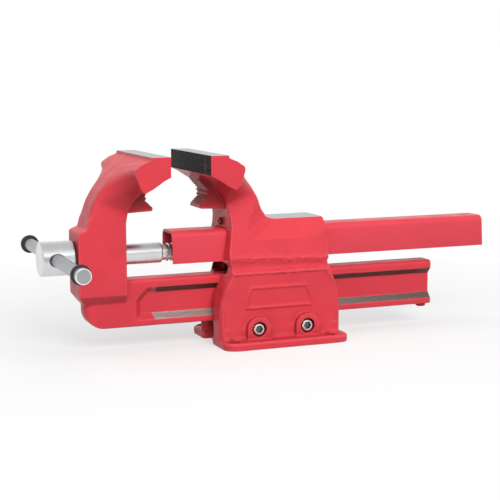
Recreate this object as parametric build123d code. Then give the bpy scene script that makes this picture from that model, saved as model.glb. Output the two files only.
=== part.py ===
from build123d import *
import os

# Bench vise with pipe jaws, in millimetres.
# X runs from the front jaw to the back of the vise, Y across the jaws, Z up.
# The origin is the middle of the bench bolt pattern, on the bench surface.

# Jaws
JAW_WIDTH = 150.0
JAW_TOP = 232.0
JAW_FACE_HEIGHT = 23.0
OPENING_AT_REST = 48.0
REAR_FACE_X = -95.0
FRONT_FACE_X = REAR_FACE_X - OPENING_AT_REST
PLATE_THICKNESS = 6.0
DOWEL_DIAMETER = 6.0
DOWEL_LENGTH = 14.0
DOWEL_SPACING = 90.0
DOWEL_HEIGHT = JAW_TOP - JAW_FACE_HEIGHT / 2

# Arm that carries each jaw, given as distance behind the jaw face and height
ARM_HALF_WIDTH = 24.0
LIP_DEPTH = 22.0
THROAT_DEPTH = 39.0
THROAT_TOP = 152.0
WING_STEPS = 8
WING_BACK_CURVE = 1.7
WING_UNDER_CURVE = 2.6
WING_BACK_POINTS = 6

# Pipe jaws
PIPE_HALF_WIDTH = 19.0
PIPE_UPPER_TIP = (3.4, 200.0)
PIPE_UPPER_ROOT = (14.5, 187.2)
PIPE_LOWER_ROOT = (14.5, 179.0)
PIPE_LOWER_TIP = (6.0, 170.5)
PIPE_UNDERSIDE = 165.5
TOOTH_DEPTH = 1.3
UPPER_TEETH = 5
LOWER_TEETH = 4

# Front column, with the square boss round the spindle
BOSS_DEPTH = 96.5
BOSS_TOP = 145.0
COLUMN_BOTTOM = 69.0
FOOT_TOP = 59.0
FOOT_SETBACK = 8.0
FOOT_NOSE_RADIUS = 10.0
FOOT_CORNER_RADIUS = 25.0

# Guide rail with a V groove along each side
RAIL_HALF_WIDTH = 14.0
RAIL_TOP = 85.0
RAIL_BOTTOM = 28.0
RAIL_REAR_X = 226.0
RAIL_TOP_RADIUS = 4.5
RAIL_BOTTOM_RADIUS = 2.0
GROOVE_DEPTH = 7.0
GROOVE_TOP = 74.5
GROOVE_BOTTOM = 35.5
GROOVE_FRONT_X = -169.5
GROOVE_SLANT = 14.0
STOP_DIAMETER = 13.0
STOP_STEM_DIAMETER = 6.5
STOP_STEM_LENGTH = 7.5
STOP_DROP = 5.0
STOP_X = 219.0

# Fixed body
LEG_INNER = 15.0
GUIDE_CLEARANCE = 0.15
RIDGE_TIP = 8.0
TUNNEL_TOP = 93.0
SKIRT_HALF_WIDTH = 48.0
RIDGE_HEIGHT = 105.0
RIDGE_HALF_WIDTH = 44.5
RIDGE_FALL = 0.04
SHOULDER_HEIGHT = 190.0
SHOULDER_HALF_WIDTH = 42.0
ANVIL_HEIGHT = 150.0
ANVIL_FRONT_X = 4.0
ANVIL_REAR_X = 67.0
LEG_FRONT_X = -75.5
LEG_REAR_X = 81.5
MOUTH_RADIUS = 9.0
FRONT_PROFILE = [(-56.0, 152.0), (-56.0, 142.0), (-62.0, 107.0), (-61.0, 101.0), (-58.5, 95.0),
                 (-62.5, 82.0), (-70.0, 68.0), (-74.0, 54.0), (LEG_FRONT_X, 40.0), (LEG_FRONT_X, 4.0)]
REAR_PROFILE = [(LEG_REAR_X, 4.0), (LEG_REAR_X, 53.0), (79.0, 66.0), (73.5, 79.0), (67.0, 93.0),
                (66.0, 97.0), (67.5, 104.0), (67.5, 110.0), (70.0, 124.0), (70.5, 137.0), (69.5, 143.6)]
RIM_WIDTH = 5.0
RIM_SLOPE = 0.7
FAR_LEG_START = 24.0
FAR_LEG_SLOPE = 0.42
PANEL_RELIEF = 1.5
PANEL_OUTLINE = [(-66.5, 66.0), (-58.5, 87.0), (62.0, 87.0), (76.0, 66.0), (77.0, 55.0), (77.0, 22.0),
                 (-71.0, 22.0), (-71.0, 54.0)]
FRAME_RELIEF = 1.0
FRAME_OUTER = [(-37.0, 71.5), (-43.5, 56.5), (-43.5, 45.0), (43.5, 45.0), (43.5, 56.5), (37.0, 71.5)]
FRAME_INNER = [(-35.0, 69.0), (-41.0, 56.0), (-41.0, 47.5), (41.0, 47.5), (41.0, 56.0), (35.0, 69.0)]

# Bench flange
FLANGE_HALF_WIDTH = 69.5
FLANGE_FRONT_X = -75.5
FLANGE_REAR_X = 86.0
FLANGE_THICKNESS = 9.0
FLANGE_CORNER_RADIUS = 16.0
FLANGE_FAR_RADIUS = 22.0
FLANGE_SLOT_RADIUS = 5.0
BOLT_SPACING_X = 124.0
BOLT_SPACING_Y = 113.0
BOLT_HOLE_DIAMETER = 14.0

# Screws that draw the two legs together on the rail
GUIDE_SCREW_X = (-28.0, 35.0)
GUIDE_SCREW_Z = 21.0
GUIDE_SCREW_DIAMETER = 10.0
GUIDE_HEAD_DIAMETER = 15.5
GUIDE_HEAD_HEIGHT = 9.0
GUIDE_HEX = 8.0
GUIDE_HEX_DEPTH = 5.5
GUIDE_RECESS_DIAMETER = 18.0
GUIDE_BOSS_RADIUS = 15.5
GUIDE_BOSS_FACE = 54.0
GUIDE_NUT_WIDTH = 16.0
GUIDE_NUT_HEIGHT = 8.0

# Spindle
SPINDLE_Z = 113.5
HEAD_DIAMETER = 40.5
HEAD_FRONT_X = -280.5
HEAD_CHAMFER = 1.5
JOURNAL_DIAMETER = 24.5
JOURNAL_END_X = -134.0
THREAD_DIAMETER = 22.0
THREAD_CORE = 17.0
THREAD_RELIEF = 3.0
SPINDLE_END_X = 196.0
WASHER_THICKNESS = 2.0
WASHER_DIAMETER = 37.0
RUNNING_CLEARANCE = 0.1
PIN_X = -205.0
PIN_DIAMETER = 6.0
PIN_LENGTH = 30.0
PIN_GROOVE_DEPTH = 3.0

# Nut and cover channel
NUT_LENGTH = 70.0
NUT_CENTRE_X = 8.0
NUT_WIDTH = 33.0
NUT_TOP = 129.0
NUT_SCREW_SPACING = 44.0
NUT_SCREW_DIAMETER = 8.0
NUT_SCREW_HEAD = 13.0
NUT_SCREW_HEAD_HEIGHT = 4.5
NUT_SCREW_BITE = 7.0
COVER_FRONT_X = -125.0
COVER_REAR_X = 297.0
COVER_TOP = 140.0
COVER_BOTTOM = 101.5
COVER_TOP_HALF = 19.5
COVER_BOTTOM_HALF = 22.0
COVER_WALL = 3.0
COVER_CORNER_RADIUS = 8.0
COVER_CLEARANCE = 0.2
COVER_SCREW_Z = 147.5
COVER_SCREW_HEAD = 9.0
COVER_SCREW_HEAD_HEIGHT = 4.0
COVER_SCREW_DIAMETER = 5.0
COVER_SCREW_LENGTH = 16.0

# Tommy bar
BAR_X = HEAD_FRONT_X + 17.5
BAR_DIAMETER = 15.0
BAR_HOLE_DIAMETER = 16.0
BAR_LENGTH = 274.0
BAR_OFFSET_Y = 4.0
RING_DIAMETER = 22.5
RING_WIDTH = 8.0
NECK_DIAMETER = 12.0
CAP_DIAMETER = 18.0
CAP_RIM = 4.0
CAP_BORE_DEPTH = 6.0


def side_face(points):
    """Closed outline in the XZ plane, drawn through points given as X and Z."""
    corners = [Vector(x, 0, z) for x, z in points]
    return make_face(Polyline(*corners, close=True))


def section_face(points):
    """Closed outline in the YZ plane, drawn through points given as Y and Z."""
    corners = [Vector(0, y, z) for y, z in points]
    return make_face(Polyline(*corners, close=True))


def across(face, half_width):
    """A side outline carried to both sides of the middle plane."""
    return extrude(face, amount=half_width, dir=(0, 1, 0), both=True)


def along(face, x_from, x_to):
    """A section carried along the vise from one X to another."""
    return extrude(Pos(x_from, 0, 0) * face, amount=x_to - x_from, dir=(1, 0, 0))


def rod_x(diameter, x_from, x_to, z, y=0.0):
    """Round bar along X."""
    length = x_to - x_from
    return Pos(x_from + length / 2, y, z) * Rot(0, 90, 0) * Cylinder(diameter / 2, length)


def rod_y(diameter, x, y_from, y_to, z):
    """Round bar along Y."""
    length = y_to - y_from
    return Pos(x, y_from + length / 2, z) * Rot(90, 0, 0) * Cylinder(diameter / 2, length)


def rod_z(diameter, x, y, z_from, z_to):
    """Upright round bar."""
    length = z_to - z_from
    return Pos(x, y, z_from + length / 2) * Cylinder(diameter / 2, length)


def teeth(start, end, count, depth):
    """Saw teeth cut into the straight line between two points, without its end point."""
    step = Vector(end[0] - start[0], end[1] - start[1]) / count
    inward = Vector(abs(step.Y), 0).normalized() * depth
    points = []
    for tooth in range(count):
        tip = Vector(start[0], start[1]) + step * tooth
        valley = tip + step * 0.35 + inward
        points += [(tip.X, tip.Y), (valley.X, valley.Y)]
    return points


def arm_outline():
    """Side view of one jaw arm, as distance behind the jaw face and height."""
    back = [(LIP_DEPTH, JAW_TOP), (22.4, 228.4), (42.0, 218.5), (58.0, 205.0)]
    back += [(70.0, 190.5), (77.5, 177.0), (82.5, 162.0), (86.5, 147.0)]
    throat = [(THROAT_DEPTH, 147.0), (THROAT_DEPTH, 154.0), (36.6, 166.0), (31.0, 180.0), (20.0, 196.5)]
    jaw_root = JAW_TOP - JAW_FACE_HEIGHT
    under_jaw = [(9.0, 204.5), (0.0, jaw_root), (PLATE_THICKNESS, jaw_root), (PLATE_THICKNESS, JAW_TOP)]
    return back + throat + under_jaw


def wing_outline(share):
    """Side view of the wide jaw head: share 0 is its outer end, share 1 is where it meets the arm."""
    jaw_root = JAW_TOP - JAW_FACE_HEIGHT
    outer = [(PLATE_THICKNESS, JAW_TOP), (LIP_DEPTH, JAW_TOP), (22.4, 228.4), (32.0, 225.0), (41.5, 218.6),
             (42.0, 214.0), (36.0, 197.0), (31.0, 191.3), (20.0, 197.0), (9.0, 204.5),
             (0.0, jaw_root), (PLATE_THICKNESS, jaw_root)]
    inner = [(PLATE_THICKNESS, JAW_TOP), (LIP_DEPTH, JAW_TOP), (22.4, 228.4), (41.0, 218.8), (57.0, 205.5),
             (69.0, 190.5), (77.0, 176.0), (38.0, 161.5), (30.5, 181.0), (12.0, 202.3),
             (0.0, jaw_root), (PLATE_THICKNESS, jaw_root)]
    points = []
    for index, (a, b) in enumerate(zip(outer, inner)):
        blend = share ** (WING_BACK_CURVE if index < WING_BACK_POINTS else WING_UNDER_CURVE)
        points.append((a[0] + (b[0] - a[0]) * blend, a[1] + (b[1] - a[1]) * blend))
    return points


def wing(side):
    """Flared half of a jaw head, lofted from its flat end into the arm."""
    sections = []
    for step in range(WING_STEPS + 1):
        share = step / WING_STEPS
        y = JAW_WIDTH / 2 + (ARM_HALF_WIDTH - 2.0 - JAW_WIDTH / 2) * share
        sections.append(Pos(0, side * y, 0) * side_face(wing_outline(share)))
    return loft(sections, ruled=True)


def pipe_block():
    """Block under the jaw with a V of teeth for round stock."""
    upper = teeth(PIPE_UPPER_TIP, PIPE_UPPER_ROOT, UPPER_TEETH, TOOTH_DEPTH)
    lower = teeth(PIPE_LOWER_TIP, PIPE_LOWER_ROOT, LOWER_TEETH, TOOTH_DEPTH)
    outline = [(18.0, 206.0), (5.5, 205.0)] + upper + [PIPE_UPPER_ROOT, PIPE_LOWER_ROOT]
    outline += lower[::-1] + [(5.0, PIPE_UNDERSIDE + 1.0), (7.0, PIPE_UNDERSIDE)]
    outline += [(THROAT_DEPTH + 4.0, PIPE_UNDERSIDE - 1.5), (THROAT_DEPTH + 4.0, 200.0)]
    return across(side_face(outline), PIPE_HALF_WIDTH)


def jaw_head():
    """Jaw head, arm and pipe jaw in one, with X as the distance behind the jaw face."""
    arm = across(side_face(arm_outline()), ARM_HALF_WIDTH)
    head = arm + pipe_block()
    for side in (-1, 1):
        head += wing(side)
    for side in (-1, 1):
        y = side * DOWEL_SPACING / 2
        end = PLATE_THICKNESS + DOWEL_LENGTH / 2
        head -= rod_x(DOWEL_DIAMETER, PLATE_THICKNESS - 1.0, end, DOWEL_HEIGHT, y)
    return head


def jaw_plate():
    """Hardened facing, with X as the distance behind the jaw face."""
    face = side_face([(0.0, JAW_TOP), (PLATE_THICKNESS, JAW_TOP),
                      (PLATE_THICKNESS, JAW_TOP - JAW_FACE_HEIGHT), (0.0, JAW_TOP - JAW_FACE_HEIGHT)])
    plate = across(face, JAW_WIDTH / 2)
    for side in (-1, 1):
        y = side * DOWEL_SPACING / 2
        plate -= rod_x(DOWEL_DIAMETER, PLATE_THICKNESS - 4.0, PLATE_THICKNESS + 1.0, DOWEL_HEIGHT, y)
    return plate


def jaw_dowels():
    """Two blind dowels between facing and forging, with X as the distance behind the jaw face."""
    pins = [rod_x(DOWEL_DIAMETER, PLATE_THICKNESS - 3.5, PLATE_THICKNESS + DOWEL_LENGTH / 2 - 0.5,
                  DOWEL_HEIGHT, side * DOWEL_SPACING / 2) for side in (-1, 1)]
    return Compound(children=pins)


def to_front(shape):
    """Turns a shape drawn behind the jaw face to face the front jaw's way."""
    return Pos(FRONT_FACE_X, 0, 0) * Rot(0, 0, 180) * shape


def to_rear(shape):
    """Puts a shape drawn behind the jaw face in the rear jaw's place."""
    return Pos(REAR_FACE_X, 0, 0) * shape


def front_column():
    """Upright column with its boss, narrowing below to the width of the rail."""
    front = FRONT_FACE_X - BOSS_DEPTH
    back = FRONT_FACE_X - THROAT_DEPTH
    outline = side_face([(front + FOOT_SETBACK, FOOT_TOP - 1.0), (front, COLUMN_BOTTOM), (front, BOSS_TOP - 2.0),
                         (front + 2.0, BOSS_TOP), (front + 10.0, BOSS_TOP + 3.0), (back, 150.0),
                         (back, FOOT_TOP - 1.0)])
    envelope = section_face([(-RAIL_HALF_WIDTH, FOOT_TOP - 1.0), (-ARM_HALF_WIDTH, COLUMN_BOTTOM),
                             (-ARM_HALF_WIDTH, 160.0), (ARM_HALF_WIDTH, 160.0),
                             (ARM_HALF_WIDTH, COLUMN_BOTTOM), (RAIL_HALF_WIDTH, FOOT_TOP - 1.0)])
    return across(outline, ARM_HALF_WIDTH + 1.0) & along(envelope, front - 1.0, back + 1.0)


def rail_with_foot():
    """Guide rail and the rounded foot under the column."""
    front = FRONT_FACE_X - BOSS_DEPTH + FOOT_SETBACK
    length = RAIL_REAR_X - front
    centre = Pos((front + RAIL_REAR_X) / 2, 0, (RAIL_TOP + RAIL_BOTTOM) / 2)
    bar = centre * Box(length, 2 * RAIL_HALF_WIDTH, RAIL_TOP - RAIL_BOTTOM)
    lengthwise = bar.edges().filter_by(Axis.X)
    bar = fillet(lengthwise.group_by(Axis.Z)[-1], RAIL_TOP_RADIUS)
    bar = fillet(bar.edges().filter_by(Axis.X).group_by(Axis.Z)[0], RAIL_BOTTOM_RADIUS)
    nose = centre * Box(length, 2 * RAIL_HALF_WIDTH, RAIL_TOP - RAIL_BOTTOM)
    nose = fillet(nose.edges().filter_by(Axis.Z).group_by(Axis.X)[0], FOOT_NOSE_RADIUS)
    corner = centre * Box(length, 2 * RAIL_HALF_WIDTH, RAIL_TOP - RAIL_BOTTOM)
    lowest = corner.edges().filter_by(Axis.Y).group_by(Axis.X)[0].sort_by(Axis.Z)[0]
    bar = bar & nose & fillet(lowest, FOOT_CORNER_RADIUS)
    for side in (-1, 1):
        bar -= groove(side)
    return bar


def groove(side):
    """V groove that starts in a slanted pocket behind the column."""
    beyond = RAIL_REAR_X + 3 * GROOVE_DEPTH
    outline = side_face([(GROOVE_FRONT_X, GROOVE_BOTTOM), (GROOVE_FRONT_X, GROOVE_TOP - GROOVE_SLANT),
                         (GROOVE_FRONT_X + GROOVE_SLANT, GROOVE_TOP), (beyond, GROOVE_TOP),
                         (beyond, GROOVE_BOTTOM)])
    start = Pos(0, side * RAIL_HALF_WIDTH, 0) * outline
    return extrude(start, amount=GROOVE_DEPTH, dir=(0, -side, 0), taper=45)


def front_jaw():
    """Sliding forging: jaw head, column and guide rail."""
    forging = to_front(jaw_head()) + front_column() + rail_with_foot()
    front = FRONT_FACE_X - BOSS_DEPTH
    back = FRONT_FACE_X - THROAT_DEPTH
    forging -= rod_x(JOURNAL_DIAMETER + 2 * RUNNING_CLEARANCE, front - 1.0, back + 1.0, SPINDLE_Z)
    forging -= rod_y(PIN_DIAMETER, PIN_X, ARM_HALF_WIDTH - PIN_LENGTH, ARM_HALF_WIDTH + 1.0, pin_height())
    forging -= rod_z(STOP_STEM_DIAMETER, STOP_X, 0.0, RAIL_BOTTOM - 1.0, RAIL_BOTTOM + STOP_STEM_LENGTH + 0.5)
    return forging


def pin_height():
    """Height of the pin that rides in the journal's groove."""
    return SPINDLE_Z + JOURNAL_DIAMETER / 2 - PIN_GROOVE_DEPTH + PIN_DIAMETER / 2 + RUNNING_CLEARANCE


def spindle_pin():
    """Pin across the column that keeps the spindle from sliding out."""
    return rod_y(PIN_DIAMETER, PIN_X, ARM_HALF_WIDTH - PIN_LENGTH, ARM_HALF_WIDTH - 0.5, pin_height())


def rail_stop():
    """Button under the rail's rear end that keeps the jaw from being wound right out."""
    button = rod_z(STOP_DIAMETER, STOP_X, 0.0, RAIL_BOTTOM - STOP_DROP, RAIL_BOTTOM)
    button = chamfer(button.edges().group_by(Axis.Z)[0], 1.5)
    return button + rod_z(STOP_STEM_DIAMETER, STOP_X, 0.0, RAIL_BOTTOM - 1.0, RAIL_BOTTOM + STOP_STEM_LENGTH)


def thrust_washer():
    """Washer between the spindle head and the boss."""
    front = FRONT_FACE_X - BOSS_DEPTH
    washer = rod_x(WASHER_DIAMETER, front - WASHER_THICKNESS, front, SPINDLE_Z)
    return washer - rod_x(JOURNAL_DIAMETER + 1.0, front - 5.0, front + 5.0, SPINDLE_Z)


def spindle():
    """Spindle: cross-drilled head, plain journal and threaded length, turned in one piece."""
    head_back = FRONT_FACE_X - BOSS_DEPTH - WASHER_THICKNESS - RUNNING_CLEARANCE
    head = HEAD_DIAMETER / 2
    journal = JOURNAL_DIAMETER / 2
    neck = journal - PIN_GROOVE_DEPTH
    thread = THREAD_DIAMETER / 2
    core = THREAD_CORE / 2
    half_groove = PIN_DIAMETER / 2 + RUNNING_CLEARANCE
    outline = [(HEAD_FRONT_X, 0), (HEAD_FRONT_X, head - HEAD_CHAMFER), (HEAD_FRONT_X + HEAD_CHAMFER, head),
               (head_back - 1.0, head), (head_back, head - 1.0), (head_back, journal),
               (PIN_X - half_groove, journal), (PIN_X - half_groove, neck),
               (PIN_X + half_groove, neck), (PIN_X + half_groove, journal),
               (JOURNAL_END_X - 2.0, journal), (JOURNAL_END_X, journal - 1.5),
               (JOURNAL_END_X, core), (JOURNAL_END_X + THREAD_RELIEF, core),
               (JOURNAL_END_X + THREAD_RELIEF + 1.5, thread),
               (SPINDLE_END_X - 3.0, thread), (SPINDLE_END_X, thread - 3.0), (SPINDLE_END_X, 0)]
    turned = revolve(side_face(outline), Axis.X)
    return Pos(0, 0, SPINDLE_Z) * turned - rod_y(BAR_HOLE_DIAMETER, BAR_X, -head - 1.0, head + 1.0, SPINDLE_Z)


def cover_outline(grow):
    """Outer section of the cover channel, grown by a clearance."""
    top = COVER_TOP + grow
    bottom = COVER_BOTTOM - grow
    upper = COVER_TOP_HALF + grow
    lower = COVER_BOTTOM_HALF + grow
    face = section_face([(-lower, bottom), (-upper, top), (upper, top), (lower, bottom)])
    return fillet(face.vertices().group_by(Axis.Z)[-1], COVER_CORNER_RADIUS + grow)


def spindle_cover():
    """Channel open at the bottom that covers the spindle from the throat to the rear."""
    outer = along(cover_outline(0.0), COVER_FRONT_X, COVER_REAR_X)
    inner = along(cover_outline(-COVER_WALL), COVER_FRONT_X - 1.0, COVER_REAR_X + 1.0)
    below = Pos((COVER_FRONT_X + COVER_REAR_X) / 2, 0, COVER_BOTTOM) * Box(
        COVER_REAR_X - COVER_FRONT_X + 2.0, 2 * (COVER_BOTTOM_HALF - COVER_WALL), 2 * COVER_WALL + 1.0)
    return outer - inner - below


def spindle_nut():
    """Long nut held to the floor of the body, inside the cover channel."""
    block = Pos(NUT_CENTRE_X, 0, (NUT_TOP + COVER_BOTTOM) / 2 - COVER_CLEARANCE / 2) * Box(
        NUT_LENGTH, NUT_WIDTH, NUT_TOP - COVER_BOTTOM + COVER_CLEARANCE)
    block = chamfer(block.edges().filter_by(Axis.X).group_by(Axis.Z)[-1], 6.0)
    bore = THREAD_DIAMETER + 2 * RUNNING_CLEARANCE
    return block - rod_x(bore, NUT_CENTRE_X - NUT_LENGTH, NUT_CENTRE_X + NUT_LENGTH, SPINDLE_Z)


def nut_foot_screws():
    """Positions along X of the two lugs of the nut."""
    return [NUT_CENTRE_X - NUT_SCREW_SPACING / 2, NUT_CENTRE_X + NUT_SCREW_SPACING / 2]


def upper_body():
    """Middle of the fixed body: the block with the anvil and the parting ridge, down to the legs."""
    throat = REAR_FACE_X + THROAT_DEPTH
    column = [(throat, 152.0), (-58.0, 165.0), (-63.0, 178.0), (-67.0, SHOULDER_HEIGHT),
              (-26.0, SHOULDER_HEIGHT), (-17.5, 177.0), (-12.5, 162.0), (-8.0, 154.0), (-3.0, 151.0)]
    anvil = [(ANVIL_FRONT_X, ANVIL_HEIGHT), (ANVIL_REAR_X, ANVIL_HEIGHT)]
    side = side_face(column + anvil + REAR_PROFILE[::-1] + FRONT_PROFILE[:0:-1])
    lift = RIDGE_FALL * (FLANGE_REAR_X - FLANGE_FRONT_X) / 2
    upper = [(ARM_HALF_WIDTH, SHOULDER_HEIGHT + lift), (SHOULDER_HALF_WIDTH, RIDGE_HEIGHT + 3.0 + lift),
             (RIDGE_HALF_WIDTH, RIDGE_HEIGHT + 0.5 + lift), (RIDGE_HALF_WIDTH - 0.5, RIDGE_HEIGHT - 3.0 + lift),
             (42.5, 97.0 + lift), (42.5, 80.0)]
    lower = [(42.5, 94.0), (44.0, 92.0), (SKIRT_HALF_WIDTH, 89.0), (SKIRT_HALF_WIDTH, 18.0), (48.8, 13.0),
             (51.0, 10.0), (53.5, FLANGE_THICKNESS - 1.0), (53.5, 2.0)]
    sections = [Pos(FLANGE_FRONT_X, 0, 0) * section_face(half + [(-y, z) for y, z in reversed(half)])
                for half in (upper, lower)]
    length = FLANGE_REAR_X - FLANGE_FRONT_X
    envelope = extrude(sections[0], amount=length, dir=(1, 0, -RIDGE_FALL))
    envelope += extrude(sections[1], amount=length, dir=(1, 0, 0))
    block = across(side, FLANGE_HALF_WIDTH) & envelope
    for side_y in (-1, 1):
        block -= shoulder_cut(side_y)
        block -= rim_cut(side_y, REAR_PROFILE, FLANGE_REAR_X + 40.0, SKIRT_HALF_WIDTH - RIM_WIDTH, -RIM_SLOPE)
    block -= rim_cut(-1, FRONT_PROFILE, FLANGE_FRONT_X - 40.0, SKIRT_HALF_WIDTH - RIM_WIDTH, RIM_SLOPE)
    return block - rim_cut(1, FRONT_PROFILE, FLANGE_FRONT_X - 40.0, FAR_LEG_START, FAR_LEG_SLOPE)


def shoulder_cut(side):
    """Wedge that bevels the body's flank towards the anvil and the column's rear edge."""
    inner = [(-17.0, 180.0), (-11.0, 162.0), (-7.0, 154.0), (ANVIL_FRONT_X, ANVIL_HEIGHT),
             (ANVIL_REAR_X, ANVIL_HEIGHT), (110.0, 172.0), (110.0, 230.0), (20.0, 230.0)]
    outer = [(-19.0, 177.0), (-44.0, 148.5), (-39.5, 137.5), (-26.5, 128.5),
             (42.0, 128.0), (110.0, 150.0), (110.0, 230.0), (20.0, 230.0)]
    sections = [Pos(0, side * y, 0) * side_face(outline)
                for y, outline in ((ARM_HALF_WIDTH, inner), (ARM_HALF_WIDTH + 13.0, outer))]
    wedge = loft(sections, ruled=True)
    return wedge + extrude(sections[1], amount=30.0, dir=(0, side, 0))


def rim_cut(side, profile, beyond, start, slope):
    """Wedge that takes the edge off one leg, from a distance off the middle plane outwards."""
    below = [point for point in profile if point[1] < RIDGE_HEIGHT - 3.0]
    top = max(z for x, z in below)
    bottom = FLANGE_THICKNESS - 0.5
    inside = [(x, max(z, bottom)) for x, z in below]
    edges = [(beyond, bottom), (beyond, top)] if inside[0][1] > inside[-1][1] else [(beyond, top), (beyond, bottom)]
    outline = side_face(inside + edges)
    direction = Vector(slope, side, 0)
    return extrude(Pos(0, side * start, 0) * outline, amount=2 * SKIRT_HALF_WIDTH, dir=direction)


def flange():
    """Bench flange under both legs."""
    centre_x = (FLANGE_FRONT_X + FLANGE_REAR_X) / 2
    slab = Pos(centre_x, 0, FLANGE_THICKNESS / 2) * Box(
        FLANGE_REAR_X - FLANGE_FRONT_X, 2 * FLANGE_HALF_WIDTH, FLANGE_THICKNESS)
    slab = fillet(slab.edges().filter_by(Axis.Z).group_by(Axis.X)[0].sort_by(Axis.Y)[-1], FLANGE_FAR_RADIUS)
    square = [edge for edge in slab.edges().filter_by(Axis.Z)
              if abs(abs(edge.center().Y) - FLANGE_HALF_WIDTH) < 1.0
              and abs(abs(edge.center().X - centre_x) - (FLANGE_REAR_X - centre_x)) < 1.0]
    slab = fillet(square, FLANGE_CORNER_RADIUS)
    slab -= Pos(centre_x, 0, FLANGE_THICKNESS / 2) * Box(
        2 * FLANGE_REAR_X - 2 * FLANGE_FRONT_X, 2 * LEG_INNER, 2 * FLANGE_THICKNESS)
    inner = [edge for edge in slab.edges().filter_by(Axis.Z) if abs(edge.center().Y) < LEG_INNER + 1.0]
    slab = fillet(inner, FLANGE_SLOT_RADIUS)
    return chamfer(slab.edges().group_by(Axis.Z)[-1], 1.5)


def tunnel():
    """Space between the legs, with a V ridge each side that runs in the rail's grooves."""
    slope_gap = GUIDE_CLEARANCE * 2 ** 0.5
    upper = GROOVE_TOP - RAIL_HALF_WIDTH - slope_gap
    lower = GROOVE_BOTTOM + RAIL_HALF_WIDTH + slope_gap
    half = [(LEG_INNER, TUNNEL_TOP), (LEG_INNER, LEG_INNER + upper), (RIDGE_TIP, RIDGE_TIP + upper),
            (RIDGE_TIP, lower - RIDGE_TIP), (LEG_INNER, lower - LEG_INNER), (LEG_INNER, -1.0)]
    profile = section_face(half + [(-y, z) for y, z in reversed(half)])
    passage = along(profile, FLANGE_FRONT_X - 5.0, FLANGE_REAR_X + 5.0)
    return passage + tunnel_mouth()


def tunnel_mouth():
    """Rounded entry to the tunnel at the front, where the ridges also begin."""
    start = FLANGE_FRONT_X - 5.0
    inside = LEG_FRONT_X + MOUTH_RADIUS
    wide = LEG_INNER + MOUTH_RADIUS
    with BuildSketch() as plan:
        with BuildLine():
            Polyline((inside, LEG_INNER), (inside, -LEG_INNER))
            RadiusArc((inside, -LEG_INNER), (LEG_FRONT_X, -wide), -MOUTH_RADIUS)
            Polyline((LEG_FRONT_X, -wide), (start, -wide), (start, wide), (LEG_FRONT_X, wide))
            RadiusArc((LEG_FRONT_X, wide), (inside, LEG_INNER), -MOUTH_RADIUS)
        make_face()
    return extrude(Pos(0, 0, FLANGE_THICKNESS) * plan.sketch, amount=TUNNEL_TOP - FLANGE_THICKNESS)


def side_details(side):
    """Solids to add and to cut on one flank: screw bosses, raised frame and sunk panel."""
    face_y = side * (SKIRT_HALF_WIDTH - PANEL_RELIEF)
    sunk = Pos(0, side * SKIRT_HALF_WIDTH, 0) * side_face(PANEL_OUTLINE)
    cut = extrude(sunk, amount=PANEL_RELIEF, dir=(0, -side, 0))
    frame = extrude(Pos(0, face_y, 0) * side_face(FRAME_OUTER), amount=FRAME_RELIEF, dir=(0, side, 0))
    frame -= extrude(Pos(0, face_y, 0) * side_face(FRAME_INNER), amount=FRAME_RELIEF, dir=(0, side, 0))
    boss = []
    for x in GUIDE_SCREW_X:
        arch = rod_y(2 * GUIDE_BOSS_RADIUS, x, LEG_INNER + 5.0, GUIDE_BOSS_FACE, GUIDE_SCREW_Z)
        base = Pos(x, (LEG_INNER + 5.0 + GUIDE_BOSS_FACE) / 2, GUIDE_SCREW_Z / 2 + 2.0) * Box(
            2 * GUIDE_BOSS_RADIUS, GUIDE_BOSS_FACE - LEG_INNER - 5.0, GUIDE_SCREW_Z - 4.0)
        lump = arch + base
        boss.append(lump if side > 0 else mirror(lump, Plane.XZ))
    return [frame] + boss, cut


def rear_body():
    """Fixed forging: jaw head, body with anvil, legs and bench flange."""
    forging = upper_body() + flange()
    for side in (-1, 1):
        added, cut = side_details(side)
        forging -= cut
        for shape in added:
            forging += shape
    forging += to_rear(jaw_head())
    forging -= tunnel()
    forging -= along(cover_outline(COVER_CLEARANCE), REAR_FACE_X, FLANGE_REAR_X)
    for x in GUIDE_SCREW_X:
        forging -= guide_screw_bore(x)
    for x in nut_foot_screws():
        forging -= rod_z(NUT_SCREW_DIAMETER + 0.5, x, 0.0, TUNNEL_TOP - 1.0, COVER_BOTTOM + 1.0)
    front = REAR_FACE_X + THROAT_DEPTH
    forging -= rod_x(COVER_SCREW_DIAMETER, front - 1.0, front + COVER_SCREW_LENGTH + 1.0, COVER_SCREW_Z)
    for x_side in (-1, 1):
        for y_side in (-1, 1):
            forging -= rod_z(BOLT_HOLE_DIAMETER, x_side * BOLT_SPACING_X / 2, y_side * BOLT_SPACING_Y / 2,
                             -1.0, 3 * FLANGE_THICKNESS)
    return forging


def guide_screw_bore(x):
    """Stepped bore for one leg screw: recess for the head, clearance hole and a recess for the nut."""
    face = GUIDE_BOSS_FACE
    seat = -(face - GUIDE_HEAD_HEIGHT - 1.0)
    bore = rod_y(GUIDE_SCREW_DIAMETER + 0.6, x, -face - 1.0, face + 1.0, GUIDE_SCREW_Z)
    bore += rod_y(GUIDE_RECESS_DIAMETER, x, -face - 3.0, seat, GUIDE_SCREW_Z)
    bore += rod_y(GUIDE_NUT_WIDTH * 1.3, x, face - GUIDE_NUT_HEIGHT - 1.0, face + 3.0, GUIDE_SCREW_Z)
    return bore


def hexagon_y(width, x, y_from, y_to, z):
    """Hexagonal bar along Y, measured across its flats."""
    with BuildSketch(Plane.XZ) as sketch:
        RegularPolygon(width / 2, 6, major_radius=False)
    return extrude(Pos(x, y_from, z) * sketch.sketch, amount=y_to - y_from, dir=(0, 1, 0))


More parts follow.
